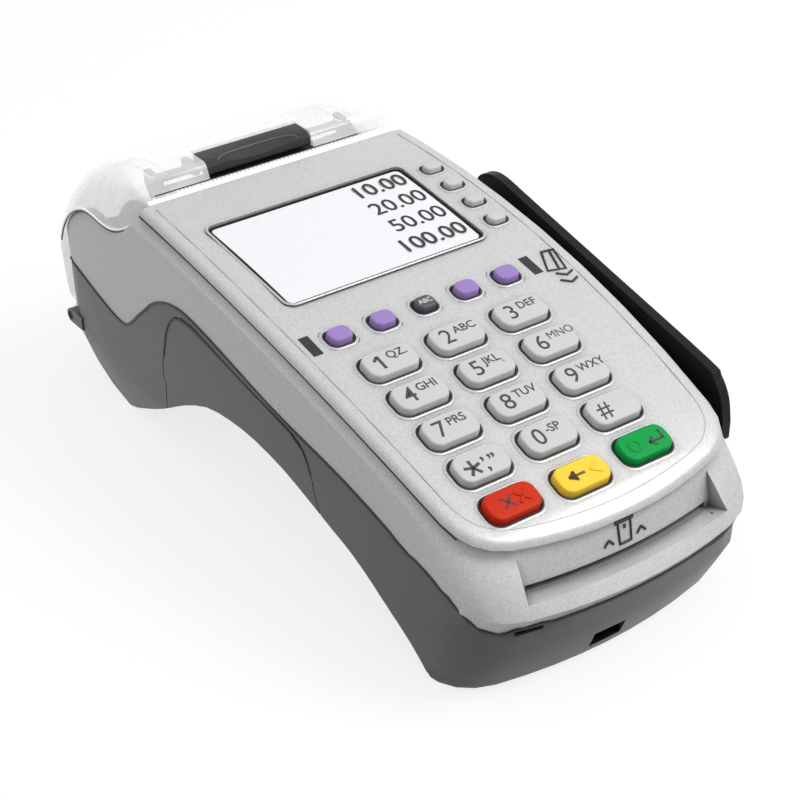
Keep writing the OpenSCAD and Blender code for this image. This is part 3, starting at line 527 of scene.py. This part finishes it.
def edit_all():
    """Goes into edit mode with everything selected."""
    mode("EDIT")
    everything()


def closed(angle=None):
    """Turns all faces outwards, leaves edit mode and shades the piece smooth up to an angle in degrees."""
    everything()
    bpy.ops.mesh.normals_make_consistent(inside=False)
    mode("OBJECT")
    if angle:
        bpy.ops.object.shade_smooth_by_angle(angle=math.radians(angle))
    return bpy.context.object


def bridged():
    """In edit mode, takes out the selected face and joins the two open edges of what is left."""
    bpy.ops.mesh.delete(type="FACE")
    bpy.ops.mesh.select_mode(type="EDGE")
    bpy.ops.mesh.select_all(action="DESELECT")
    bpy.ops.mesh.select_non_manifold()
    bpy.ops.mesh.bridge_edge_loops()


def merged_copy(node, angle):
    """A copy of a CAD node with its loose triangles merged and its rounds shaded smooth."""
    piece = twin(frame["nodes"][node])
    del piece["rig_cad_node"]
    edit_all()
    bpy.ops.mesh.customdata_custom_splitnormals_clear()
    bpy.ops.mesh.remove_doubles(threshold=0.002 * MM)
    mode("OBJECT")
    bpy.ops.object.shade_smooth_by_angle(angle=math.radians(angle))
    return piece


def heading(degrees):
    """The cosine and the sine of an angle."""
    return math.cos(math.radians(degrees)), math.sin(math.radians(degrees))


def axes(across, back, up, place):
    """A matrix with these axes at a place."""
    matrix = Matrix((across, back, up)).transposed().to_4x4()
    matrix.translation = place
    return matrix


def key_seat(node):
    """The middle of a key's top as a matrix whose z leaves the key, and the key's width and length."""
    joint = next(j for j in frame["joints"] if j["child"] == node + "_cap")
    up = -Vector(joint["axis"]).normalized()
    back = up.cross(RIGHT)
    points = [v.co for v in frame["nodes"][node].data.vertices]
    top = max(p.dot(up) for p in points)
    cap = [p for p in points if p.dot(up) > top - 0.9 * MM]
    spans = [(min(p.dot(a) for p in cap), max(p.dot(a) for p in cap)) for a in (RIGHT, back)]
    middle = sum((a * (s[0] + s[1]) / 2 for a, s in zip((RIGHT, back), spans)), up * top)
    return axes(RIGHT, back, up, middle), spans[0][1] - spans[0][0], spans[1][1] - spans[1][0]


def face_bow():
    """The axis and radius of the bowed face, from two number keys that stand square on it."""
    rear, front = key_seat("key_1")[0], key_seat("key_star")[0]
    apart = rear.translation - front.translation
    turned = rear.col[2].to_3d() - front.col[2].to_3d()
    over = apart.yz.length / turned.yz.length
    axis = rear.translation - rear.col[2].to_3d() * over
    return axis, over - sizes().key_rise


def over_face(point):
    """A matrix on the face next to a point, with z square to the face."""
    axis, radius = face_bow()
    up = Vector((0, point[1] - axis.y, point[2] - axis.z)).normalized()
    return axes(RIGHT, up.cross(RIGHT), up, Vector((point[0], axis.y, axis.z)) + up * radius)


def face_at(x, y):
    """A matrix on the face at a place given in plan."""
    axis, radius = face_bow()
    return over_face((x, y, axis.z + math.sqrt(radius ** 2 - (y - axis.y) ** 2)))


def rounded_plate(width, depth, corner):
    """A flat plate with round corners, left in edit mode with its face selected."""
    alone()
    corner = min(corner, 0.42 * min(width, depth))
    bpy.ops.mesh.primitive_plane_add(size=1.0)
    edit_all()
    bpy.ops.transform.resize(value=(width, depth, 1.0))
    bpy.ops.mesh.bevel(offset=corner, segments=7, affect="VERTICES")
    everything()
    return bpy.context.object


def inset_frame(width, depth, corner, start, insets):
    """A closed flat frame: a plate at a height, stepped inwards, with its middle taken out."""
    rounded_plate(width, depth, corner)
    bpy.ops.transform.translate(value=(0, 0, start))
    for thickness, rise in insets:
        bpy.ops.mesh.inset(thickness=thickness, depth=rise)
    bridged()
    return closed(50)


def opening_rim(width, depth, corner, apron, deep):
    """A raised rim round an opening, with a round lip that runs down into it and a flat border outside."""
    s = sizes()
    wide = s.opening_gap + s.rim_width + apron
    share = s.rim_width / 4
    sunk, proud = 0.1 * MM, 0.03 * MM
    border = [(share * 0.5, sunk + proud)] + ([(apron, 0.0)] if apron else [])
    return inset_frame(width + 2 * wide, depth + 2 * wide, corner + wide, -sunk, border + [
        (share, s.rim_rise * 0.9), (share, s.rim_rise * 0.1), (share, -s.rim_rise * 0.5),
        (share * 0.5, -deep)])


def gap_shade_ring(width, depth, corner):
    """A dark ring that fills the gap round a key where the keypad mat would show: painted shade in the gap.
    """
    gap = sizes().opening_gap
    return inset_frame(width + 2 * gap, depth + 2 * gap, corner + gap, 0.12 * MM,
                       [(gap - 0.06 * MM, -0.03 * MM), (0.02 * MM, -0.8 * MM)])


def cap_outline(node):
    """The seat of a visible key cap, its width and length at the foot, and its corner round."""
    s = sizes()
    matrix, width, depth = key_seat(node)
    corner, inset = (s.number_corner, s.key_inset) if width > 12 * MM else (s.small_corner, s.small_inset)
    return matrix, width - 2 * inset, depth - 2 * inset, corner


def key_cap(width, depth, corner):
    """A key cap with its top at z 0: upright edges and top edge rounded, bottom closed."""
    s = sizes()
    top = width - 2 * s.key_draft, depth - 2 * s.key_draft
    cap = rounded_plate(*top, corner)
    bpy.ops.mesh.extrude_region_move(TRANSFORM_OT_translate={"value": (0, 0, -s.key_depth)})
    bpy.ops.transform.resize(value=(width / top[0], depth / top[1], 1.0), center_override=(0, 0, 0))
    everything()
    bpy.ops.mesh.normals_make_consistent(inside=False)
    pick("EDGE", lambda e, m: all(abs(m.vertices[v].co.z) < 1e-6 for v in e.vertices))
    bpy.ops.mesh.bevel(offset=s.key_round, segments=5, profile=0.5, affect="EDGES")
    mode("OBJECT")
    bpy.ops.object.shade_smooth_by_angle(angle=math.radians(50))
    return cap


def printed(text, size, at, bold=0.026, align="CENTER"):
    """Printed type as a thin mesh, flat at the origin."""
    alone()
    bpy.ops.object.text_add()
    letters = bpy.context.object.data
    letters.body = text
    letters.size = size
    letters.align_x = align
    letters.align_y = "CENTER"
    letters.offset = bold * size
    letters.extrude = sizes().print_lift / 2
    letters.resolution_u = 4
    bpy.ops.object.convert(target="MESH")
    return placed(bpy.context.object, Matrix.Translation((*at, sizes().print_lift / 2)))


def stroke(start, end, width, height, rounded=False):
    """One straight stroke of a sign between two places in millimetres, flat at the origin, with a rounded
    back where it is raised."""
    alone()
    start, end = Vector(start) * MM, Vector(end) * MM
    along = end - start
    bpy.ops.mesh.primitive_cube_add(size=1.0)
    mode("EDIT")
    bpy.ops.transform.resize(value=(along.length + width * 0.5, width, height))
    bpy.ops.transform.translate(value=(0, 0, height / 2))
    if rounded:
        pick("FACE", lambda f, m: f.normal.z > 0.9)
        bpy.ops.mesh.bevel(offset=height * 0.6, segments=3, affect="EDGES")
    mode("OBJECT")
    piece = bpy.context.object
    middle = (start + end) / 2
    return placed(piece, Matrix.Translation((middle.x, middle.y, 0))
                  @ Matrix.Rotation(math.atan2(along.y, along.x), 4, "Z"))


def sign(lines, width, height, rounded=False):
    """A sign made of straight strokes, given in millimetres."""
    return joined([stroke(a, b, width, height, rounded) for a, b in lines])


def traced(points, radius):
    """A fine round bead along a line of points: one vertex drawn out step by step, then made a tube."""
    alone()
    bpy.ops.mesh.primitive_plane_add(size=0.1 * MM)
    mode("EDIT")
    bpy.ops.mesh.select_mode(type="VERT")
    everything()
    bpy.ops.mesh.merge(type="CENTER")
    bpy.ops.transform.translate(value=points[0])
    for start, end in zip(points, points[1:]):
        bpy.ops.mesh.extrude_vertices_move(TRANSFORM_OT_translate={"value": Vector(end) - Vector(start)})
    mode("OBJECT")
    bpy.ops.object.convert(target="CURVE")
    curve = bpy.context.object.data
    curve.bevel_depth = radius
    curve.bevel_resolution = 1
    curve.use_fill_caps = True
    bpy.ops.object.convert(target="MESH")
    bpy.ops.object.shade_smooth()
    return bpy.context.object


def face_edge(inset):
    """Plan of the edge of the face as x, y: left rear, round the front, right rear."""
    half, front, rear = FACE_HALF - inset / MM, FACE_FRONT + inset / MM, 50

    def side(y):
        return half - SIDE_BOW * ((y + PACK_SHIFT) / 100) ** 2

    def lip(x):
        return front + FRONT_BOW * (x / 40) ** 2

    end = side(front + 6)
    turn, low = end - FACE_CORNER, lip(end) + FACE_CORNER
    a, b, c = Vector((turn, lip(turn))), Vector((end, lip(end))), Vector((side(low), low))
    right = [Vector((x, lip(x))) for x in (turn * i / 6 for i in range(6))]
    right += [a.lerp(b, t).lerp(b.lerp(c, t), t) for t in (i / 6 for i in range(6))]
    right += [Vector((side(y), y)) for y in (low + (rear - low) * i / 16 for i in range(17))]
    left = [Vector((-v.x, v.y)) for v in reversed(right[1:])]
    return [(v + Vector((FACE_MIDDLE, 0))) * MM for v in left + right]


def cross(at, half):
    """The two strokes of a cross."""
    x, y = at
    return [((x - half, y - half), (x + half, y + half)), ((x - half, y + half), (x + half, y - half))]


# Operators


class TERMINAL_OT_case(bpy.types.Operator):
    """Silver upper moulding with its groove and fine line, dark base, underside panel and swipe rail; the
    dark bead in the groove and the fine line are painted shade
    """

    bl_idname = "terminal.case"
    bl_label = "Case"

    def execute(self, context):
        for node, name, slot in (
                ("top_housing", "upper_moulding", "silver_shell"),
                ("base_housing", "lower_moulding", "dark_shell"),
                ("underside_door", "underside_panel", "dark_shell"),
                ("swipe_rail", "card_rail", "black_plastic")):
            dressed(merged_copy(node, 32), name, "case", slot, nodes=[node])
        s = sizes()
        # Dark beads in the groove under the rim on both sides: painted shade
        shade_beads = [traced(line, s.groove_bead) for line in self.groove(shells()[0])]
        dressed(joined(shade_beads), "groove_gasket", "case", "gasket")
        # A grey line inside the edge of the face: painted shade of an engraved line
        line = traced([face_at(p.x, p.y).translation for p in face_edge(s.line_inset)], s.line_width / 2)
        dressed(line, "face_line", "case", "ink_pale")
        return {"FINISHED"}

    def groove(self, case):
        """The lines of the groove under the rim of the face, along both sides."""
        level, near = 3.4 * MM, 0.2 * MM
        inner, front = 30 * MM, -86 * MM
        middle = sum(corner.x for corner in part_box("top_housing")) / 2
        away = RIGHT * sizes().groove_bead * 0.25
        line = []
        for v in case.data.vertices:
            aside = v.co.x - middle
            if aside * v.normal.x > 0 and abs(aside) > inner and v.co.y > front:
                depth = face_at(v.co.x, v.co.y).translation.z - v.co.z
                if abs(depth - level) < near:
                    line.append(v.co.copy())
        line.sort(key=lambda co: co.y)
        return [[co - away for co in line if co.x < middle], [co + away for co in line if co.x > middle]]


def shells():
    """The upper and the lower moulding."""
    return [bpy.data.objects[name] for name in ("upper_moulding", "lower_moulding")]


def met(pieces, start, way):
    """How far from a place, along a way, the first of these pieces is met."""
    hits = [piece.ray_cast(start, way) for piece in pieces]
    return min([(hit[1] - start).length for hit in hits if hit[0]], default=math.inf)


def seam_point(inner, outer, inside, outside, way, bead):
    """Where one group of pieces gives way to another, seen along a way: a place on the inner group."""
    beside = (inside - outside).normalized() * bead
    for _ in range(14):
        middle = (inside + outside) / 2
        if met(inner, middle, way) < met(outer, middle, way):
            inside = middle
        else:
            outside = middle
    point = inside + way * met(inner, inside + beside, way)
    return Vector((max(point.x, CAD_BOX[0].x + bead), max(point.y, CAD_BOX[0].y + bead), point.z))


class TERMINAL_OT_seams(bpy.types.Operator):
    """Dark beads that show in the seam of the case and round the underside panel: painted shade in the gaps
    """

    bl_idname = "terminal.seams"
    bl_label = "Seam gaskets"

    def execute(self, context):
        s = sizes()
        upper, lower = shells()
        panel = bpy.data.objects["underside_panel"]
        left_x, front_y = CAD_BOX[0].x - OUTSIDE, CAD_BOX[0].y - OUTSIDE
        # Lines of sight along the left side, round the left corner, over the front, round the right corner
        left, right, corner_y = -30 * MM, 26 * MM, -80 * MM
        rays = [(Vector((left_x, (96 - 2.5 * i) * MM, 0)), RIGHT) for i in range(70)]
        for hub_x, turns in ((left, range(0, 90, 9)), (right, range(90, 150, 9))):
            ways = [Vector((*heading(turn), 0)) for turn in turns]
            rays += [(Vector((hub_x, corner_y, 0)) - way * 60 * MM, way) for way in ways]
            if hub_x == left:
                rays += [(Vector((x * MM, front_y, 0)), BACK) for x in range(-30, 26, 4)]
        line = []
        for start, way in rays:
            top = face_at(0, start.y).translation.z - 8 * MM if way == RIGHT else 30 * MM
            line.append(seam_point([upper], [lower, panel], start + UP * top, start + UP * 3 * MM, way,
                                   s.seam_bead))
        # A black bead along the seam of the case: painted shade in the gap
        dressed(traced(line, s.seam_bead), "case_gasket", "case", "ink_black")
        low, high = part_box("underside_door")
        hub = Vector((left_x, (low.y + high.y) / 2, high.z - 6 * MM))
        # Black beads round the underside panel: painted shade in its gaps
        for name, turns, bead in (("panel_gasket", range(-16, 197, 4), s.panel_bead),
                                  ("panel_top_gasket", range(12, 169, 4), s.panel_top_bead)):
            reaches = [Vector((0, *heading(turn))) * 70 * MM for turn in turns]
            line = [seam_point([panel], [lower, upper], hub, hub + reach, RIGHT, bead) for reach in reaches]
            dressed(traced(line, bead), name, "case", "ink_black")
        return {"FINISHED"}


class TERMINAL_OT_liners(bpy.types.Operator):
    """Dark plates in the front hole and the two seam notches: painted shade, so that these openings read
    black
    """

    bl_idname = "terminal.liners"
    bl_label = "Slot liners"

    def execute(self, context):
        notch_z, notch_width, notch_height = 20.05, 7.3, 2.6
        for name, x in (("left_notch_liner", -32.25), ("right_notch_liner", 28.55)):
            stand, chord = self.stand(x, notch_z, notch_width)
            plate = rounded_plate(chord, notch_height * MM, 0.3 * MM)
            bpy.ops.mesh.extrude_region_move(TRANSFORM_OT_translate={"value": (0, 0, -0.8 * MM)})
            closed()
            dressed(placed(plate, stand), name, "case", "ink_black")
        place = self.stand(-7.1, 6.45, 9.7)[0].translation
        sleeve = inset_frame(9.78 * MM, 4.88 * MM, 0.25 * MM, 0, [(0.14 * MM, 0), (0.01 * MM, -8 * MM)])
        upright = Matrix.Translation(place) @ Matrix.Rotation(math.radians(90), 4, "X")
        dressed(placed(sleeve, upright), "front_hole_liner", "case", "ink_black")
        return {"FINISHED"}

    def stand(self, x, z, width):
        """A place just behind the front, between the ends of an opening, and the distance of the ends."""
        case = shells()
        beside = width / 2 + 0.6
        ends = [Vector((end * MM, CAD_BOX[0].y - OUTSIDE, z * MM)) for end in (x - beside, x + beside)]
        left, right = (end + BACK * met(case, end, BACK) for end in ends)
        along = (right - left).normalized()
        middle = (left + right) / 2 + BACK * sizes().shade_sink
        return axes(along, UP, along.cross(UP), middle), width * MM / abs(along.x)


class TERMINAL_OT_rims(bpy.types.Operator):
    """Raised rims round the key openings, and dark rings in the gaps round the keys: painted shade"""

    bl_idname = "terminal.rims"
    bl_label = "Opening rims"

    def execute(self, context):
        s = sizes()
        shaped = {}
        gap_shades = []
        for node in [*NUMBER_LEGENDS, *ACTION_KEYS, *FUNCTION_KEYS, "letter_key", *SCREEN_KEYS]:
            matrix, width, depth, corner = cap_outline(node)
            key = (round(width, 5), round(depth, 5))
            if key not in shaped:
                shaped[key] = (opening_rim(width, depth, corner, s.rim_apron, 1.0 * MM),
                               gap_shade_ring(width, depth, corner))
            rim, lip = (placed(twin(model), over_face(matrix.translation)) for model in shaped[key])
            dressed(rim, node + "_rim", "case", "silver_shell")
            gap_shades.append(lip)
        # Dark rubber rings in the key gaps: painted shade
        dressed(joined(gap_shades), "keypad_lips", "case", "rubber")
        discard(sum(shaped.values(), ()))
        return {"FINISHED"}


class TERMINAL_OT_keys(bpy.types.Operator):
    """All key caps with their rounded edges"""

    bl_idname = "terminal.keys"
    bl_label = "Keys"

    def execute(self, context):
        finishes = {**{k: "key_grey" for k in (*NUMBER_LEGENDS, *SCREEN_KEYS)},
                    **{k: "key_purple" for k in FUNCTION_KEYS}, "letter_key": "key_dark",
                    "cancel_key": "key_red", "clear_key": "key_yellow", "enter_key": "key_green"}
        shaped = {}
        for node, slot in finishes.items():
            matrix, width, depth, corner = cap_outline(node)
            key = (round(width, 5), round(depth, 5))
            if key not in shaped:
                shaped[key] = key_cap(width, depth, corner)
            cap = placed(twin(shaped[key]), matrix)
            dressed(cap, node + "_top", node + "_cap", slot, nodes=[node])
        discard(shaped.values())
        return {"FINISHED"}


class TERMINAL_OT_legends(bpy.types.Operator):
    """Signs and letters printed on the keys, and the raised marks of the coloured keys"""

    bl_idname = "terminal.legends"
    bl_label = "Legends"

    def execute(self, context):
        s = sizes()
        number_width, print_width, mark_width = 0.85 * MM, 0.75 * MM, 0.9 * MM
        for node, (large, small) in NUMBER_LEGENDS.items():
            if large == "1":
                parts = [sign(ONE_SIGN, number_width, s.print_lift)]
            elif large == "*":
                hub = Vector((-3.0, -0.6))
                arms = [(hub, hub + Vector(heading(90 + 72 * i)) * 2.2) for i in range(5)]
                parts = [sign(arms, number_width, s.print_lift)]
                parts += [printed(",", 5.4 * MM, (x * MM, y * MM), bold=0.02)
                          for x, y in ((0.7, -0.9), (0.6, 2.4), (2.6, 2.4), (3.7, 2.4))]
            else:
                parts = [printed(large, s.digit_size, (-2.9 * MM, 0), bold=0.004)]
            if small:
                # Bolder type would break the points of an M
                bold = 0.0 if "M" in small else 0.014
                parts.append(printed(small, s.letter_size, (-0.3 * MM, 1.3 * MM), bold, "LEFT"))
            self.on_key(joined(parts), node, "_legend", "ink")
        bump = placed(self.bump(0.65 * MM, 0.35 * MM), Matrix.Translation((5.0 * MM, -0.4 * MM, 0)))
        self.on_key(bump, "key_5", "_bump", "key_grey")
        self.on_key(printed("ABC", 2.1 * MM, (0, 0)), "letter_key", "_legend", "key_grey")
        for node, ink, slot, lines, raised in (
                ("cancel_key", "ink_red", "key_red", cross((-1.4, 0), 1.5), cross((3.0, 0), 1.5)),
                ("clear_key", "ink_brown", "key_yellow", ARROW_LEFT, ANGLE_LEFT),
                ("enter_key", "ink_green", "key_green", ARROW_RETURN, None)):
            self.on_key(sign(lines, print_width, s.print_lift), node, "_legend", ink)
            if raised:
                mark = sign(raised, mark_width, s.mark_rise, rounded=True)
            else:
                mark = self.ring(s.mark_rise)
            self.on_key(mark, node, "_mark", slot)
        return {"FINISHED"}

    def on_key(self, piece, node, ending, finish_name):
        """Lays a flat piece on the top of a key, to go down with it."""
        dressed(placed(piece, key_seat(node)[0]), node + ending, node + "_cap", finish_name)

    def disc(self, vertices, radius, insets):
        """A flat disc, stepped inwards and up or down, left in edit mode."""
        alone()
        bpy.ops.mesh.primitive_circle_add(vertices=vertices, radius=radius, fill_type="NGON")
        edit_all()
        for thickness, rise in insets:
            bpy.ops.mesh.inset(thickness=thickness, depth=rise)

    def bump(self, radius, rise):
        """A small round bump to feel the middle key by."""
        self.disc(20, radius, [(radius * 0.15, rise * 0.6), (radius * 0.3, rise * 0.3),
                               (radius * 0.3, rise * 0.1)])
        mode("OBJECT")
        bpy.ops.object.shade_smooth()
        return bpy.context.object

    def ring(self, rise):
        """A raised ring for the enter key."""
        self.disc(28, 2.0 * MM, [(0.25 * MM, rise), (0.4 * MM, 0.0), (0.25 * MM, -rise)])
        bridged()
        return placed(closed(60), Matrix.Translation((-3.4 * MM, 0, 0)))


class TERMINAL_OT_display(bpy.types.Operator):
    """Display field, the amounts that it shows and the rim of the window"""

    bl_idname = "terminal.display"
    bl_label = "Display"

    def execute(self, context):
        s = sizes()
        lens = over_face(sum(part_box("display_lens"), Vector()) / 2)
        up = lens.col[2].to_3d()
        film = merged_copy("display_lens", 30)
        edit_all()
        bpy.ops.transform.resize(value=(1.022, 1.034, 1.034), center_override=lens.translation)
        bpy.ops.transform.translate(value=up * 0.5 * MM)
        mode("OBJECT")
        dressed(film, "display_field", "case", "display_glass")
        point = film.ray_cast(lens.translation + up * OUTSIDE, -up)[1]
        level = (point - lens.translation).dot(up) + 0.05 * MM
        right_end, first_row, row_pitch = 29.6 * MM, 14.2 * MM, 9.1 * MM
        parts = [printed(text, s.amount_size, (right_end, first_row - row_pitch * row), 0.006, "RIGHT")
                 for row, text in enumerate(AMOUNTS)]
        amounts = placed(joined(parts), lens @ Matrix.Translation((0, 0, level)))
        dressed(amounts, "display_amounts", "case", "ink_black")
        rim = placed(opening_rim(62.1 * MM, 39.5 * MM, 2.0 * MM, 0.0, 0.6 * MM), lens)
        dressed(rim, "window_rim", "case", "silver_shell")
        return {"FINISHED"}


class TERMINAL_OT_prints(bpy.types.Operator):
    """Printed bars and plain card signs on the case"""

    bl_idname = "terminal.prints"
    bl_label = "Printed signs"

    def execute(self, context):
        for name, x in (("left_bar", -40.6 * MM), ("right_bar", 29.1 * MM)):
            bar = sign([((0, -3.0), (0, 3.0))], 2.8 * MM, sizes().print_lift)
            dressed(placed(bar, face_at(x, -21.2 * MM)), name, "case", "ink_black")
        self.drawn([[face_at(x * MM, y * MM).translation for x, y in line] for line in SWIPE_SIGN],
                   "swipe_sign")
        paths = [[Vector(a).lerp(Vector(b), i / 4) for a, b in zip(line, line[1:]) for i in range(4)]
                 + [Vector(line[-1])] for line in CHIP_SIGN]
        self.drawn([[self.on_front(q.x * MM, q.y * MM) for q in path] for path in paths], "chip_sign")
        return {"FINISHED"}

    def drawn(self, lines, name):
        """A sign of fine round lines on the case."""
        parts = [traced(line, sizes().sign_width / 2) for line in lines]
        dressed(joined(parts), name, "case", "ink_black")

    def on_front(self, x, z):
        """The point of the upper moulding that is met from the front at this x and z."""
        start = Vector((x, CAD_BOX[0].y - OUTSIDE, z))
        hit, point = shells()[0].ray_cast(start, BACK)[:2]
        if not hit:
            raise RuntimeError("no case in front of the card sign")
        return point


class TERMINAL_OT_printer(bpy.types.Operator):
    """Frosted cover with its edge and lip, catch with its ridge, and tear strip; the bright bead on the edge
    and the lighter ridge are painted highlights, the bead under the edge painted shade
    """

    bl_idname = "terminal.printer"
    bl_label = "Printer"

    def execute(self, context):
        s = sizes()
        cover = dressed(merged_copy("paper_cover", 40), "frosted_cover", "cover", "frosted_clear",
                        nodes=["paper_cover"])
        catch = dressed(merged_copy("cover_latch", 40), "cover_catch", "latch", "latch_grey",
                        nodes=["cover_latch"])
        self.edges(cover)
        dressed(merged_copy("tear_bar", 30), "tear_strip", "case", "bright_strip", ["tear_bar"])
        lip = [Vector((x, 55.85, 70.5)) * MM for x in range(-40, 37, 4)]
        dressed(traced(lip, s.lip_bead), "cover_lip", "cover", "frosted_clear")
        ridge = []
        for i in range(25):
            across, along = heading(7.5 * i)
            over = Vector((-3.9 - 13 * across, 58.6 + 3.4 * along, 80)) * MM
            ridge.append(over - UP * (met([catch], over, -UP) + 0.5 * s.scoop_bead))
        # A lighter bead behind the finger scoop: painted highlight
        dressed(traced(ridge, s.scoop_bead), "catch_ridge", "latch", "key_dark")
        return {"FINISHED"}

    def edges(self, cover):
        """A bright glowing bead along the lower edge of the cover's left cheek, a painted highlight, and a
        dark bead under it, painted shade in the gap.
        """
        bead = sizes().cover_bead
        case = shells()
        lowest = 20 * MM
        edge = []
        for y in [(54 + 2 * i) * MM for i in range(24)]:
            at = Vector((CAD_BOX[0].x - OUTSIDE, y, CAD_BOX[1].z))
            while at.z > lowest and not met([cover], at, RIGHT) < met(case, at, RIGHT):
                at.z -= 1 * MM
            if at.z > lowest:
                edge.append(seam_point([cover], case, at, Vector((at.x, y, 15 * MM)), RIGHT, bead))
        bright = traced([p + UP * bead for p in edge], bead)
        dressed(bright, "cover_edge", "cover", "bright_edge")
        # A black bead under the edge of the cover: painted shade in the gap
        shaded_gap = traced([p - UP * 0.3 * MM for p in edge], 0.6 * bead)
        dressed(shaded_gap, "cover_seal", "case", "ink_black")


class TERMINAL_OT_inside(bpy.types.Operator):
    """Finishes of the solids that stay as they are: sockets, feet, screws and the inner parts"""

    bl_idname = "terminal.inside"
    bl_label = "Inner parts"

    def execute(self, context):
        slots = {part["node"]: part["material_slot"] for part in frame["record"]["subparts"]}
        for name, node in frame["nodes"].items():
            if not node.hide_render:
                node.data.materials.clear()
                node.data.materials.append(finish(slots[name]))
        return {"FINISHED"}


class TERMINAL_OT_stage(bpy.types.Operator):
    """Pale floor, soft light and the camera"""

    bl_idname = "terminal.stage"
    bl_label = "Stage"

    def execute(self, context):
        alone()
        bpy.ops.mesh.primitive_plane_add(size=8.0, location=(0, 0, CAD_BOX[0].z - 0.05 * MM))
        floor = context.object
        floor.name = "floor"
        material = bpy.data.materials.new("Studio paper, white")
        tree = bare(material)
        seen = self.background_rays(tree)
        paper = add(tree, "ShaderNodeBsdfDiffuse", {"Color": linear("#6c6c6c")})
        bright = add(tree, "ShaderNodeBsdfDiffuse", {"Color": WHITE})
        glow = add(tree, "ShaderNodeEmission", {"Color": WHITE, "Strength": 1.0})
        white = add(tree, "ShaderNodeMixShader", {0: 0.8}, {1: bright.outputs[0], 2: glow.outputs[0]})
        mixed = add(tree, "ShaderNodeMixShader", {}, {0: seen, 1: paper.outputs[0], 2: white.outputs[0]})
        add(tree, "ShaderNodeOutputMaterial", links={"Surface": mixed.outputs[0]})
        floor.data.materials.append(material)

        world = bpy.data.worlds.new("Studio")
        context.scene.world = world
        tree = bare(world)
        seen = self.background_rays(tree)
        ray = add(tree, "ShaderNodeTexCoord").outputs["Generated"]
        height = add(tree, "ShaderNodeSeparateXYZ", links={"Vector": ray}).outputs["Z"]
        # Bright overhead and dim at the horizon, as under a large soft box
        soft = add(tree, "ShaderNodeMapRange", {"From Max": 0.9, "To Min": 0.06, "To Max": 0.95},
                   {"Value": height})
        strength = add(tree, "ShaderNodeMapRange", {"To Max": 1.0},
                       {"Value": seen, "To Min": soft.outputs[0]})
        sky = add(tree, "ShaderNodeBackground", {"Color": WHITE}, {"Strength": strength.outputs[0]})
        add(tree, "ShaderNodeOutputWorld", links={"Surface": sky.outputs[0]})

        for name, place, aim, size, power in (
                ("key_light", (0.5, -0.45, 0.8), (0, -0.06, 0.04), 0.45, 5.6),
                ("front_light", (0.4, -0.95, 0.15), (0, -0.05, 0.03), 0.6, 0.4),
                ("left_light", (-0.65, 0.4, 0.35), (0, 0.05, 0.02), 0.5, 0.25)):
            bpy.ops.object.light_add(type="AREA", location=place)
            lamp = context.object
            lamp.name = name
            lamp.data.size = size
            lamp.data.energy = power
            lamp.rotation_euler = (Vector(aim) - Vector(place)).to_track_quat("-Z", "Y").to_euler()

        alone()
        bpy.ops.object.camera_add(location=CAMERA_PLACE, rotation=(
            math.radians(CAMERA_TILT), 0, math.radians(CAMERA_HEADING)))
        camera = context.object
        camera.data.lens = CAMERA_LENS
        camera.data.sensor_width = CAMERA_SENSOR
        camera.data.clip_start = 0.01
        context.scene.camera = camera
        context.scene.view_settings.view_transform = "Standard"
        return {"FINISHED"}

    def background_rays(self, tree):
        """Is 1 for the rays that show the white background: straight, or by way of metal or glass."""
        path = add(tree, "ShaderNodeLightPath")
        mirrored = add(tree, "ShaderNodeMath", {"operation": "ADD", "use_clamp": True},
                       {0: path.outputs["Is Glossy Ray"], 1: path.outputs["Is Transmission Ray"]})
        return add(tree, "ShaderNodeMath", {"operation": "ADD", "use_clamp": True},
                   {0: path.outputs["Is Camera Ray"], 1: mirrored.outputs[0]}).outputs[0]


class TERMINAL_PT_panel(bpy.types.Panel):
    """The terminal's sizes, colours and building steps"""

    bl_idname = "TERMINAL_PT_panel"
    bl_label = "Payment terminal"
    bl_space_type = "VIEW_3D"
    bl_region_type = "UI"
    bl_category = "Terminal"

    def draw(self, context):
        for group in (context.scene.terminal_sizes, context.scene.terminal_colours):
            box = self.layout.box()
            for name in group.bl_rna.properties.keys():
                if name not in ("rna_type", "name"):
                    box.prop(group, name)
        for step in STEPS:
            self.layout.operator(step.bl_idname)


STEPS = (TERMINAL_OT_case, TERMINAL_OT_seams, TERMINAL_OT_liners, TERMINAL_OT_rims, TERMINAL_OT_keys,
         TERMINAL_OT_legends, TERMINAL_OT_display, TERMINAL_OT_prints, TERMINAL_OT_printer,
         TERMINAL_OT_inside, TERMINAL_OT_stage)
CLASSES = (TerminalSizes, TerminalColours, *STEPS, TERMINAL_PT_panel)


def register():
    for cls in CLASSES:
        bpy.utils.register_class(cls)
    bpy.types.Scene.terminal_sizes = bpy.props.PointerProperty(type=TerminalSizes)
    bpy.types.Scene.terminal_colours = bpy.props.PointerProperty(type=TerminalColours)


def unregister():
    del bpy.types.Scene.terminal_sizes
    del bpy.types.Scene.terminal_colours
    for cls in reversed(CLASSES):
        bpy.utils.unregister_class(cls)


def main():
    register()
    for step in STEPS:
        group, name = step.bl_idname.split(".")
        getattr(getattr(bpy.ops, group), name)()


if __name__ == "__main__":
    main()
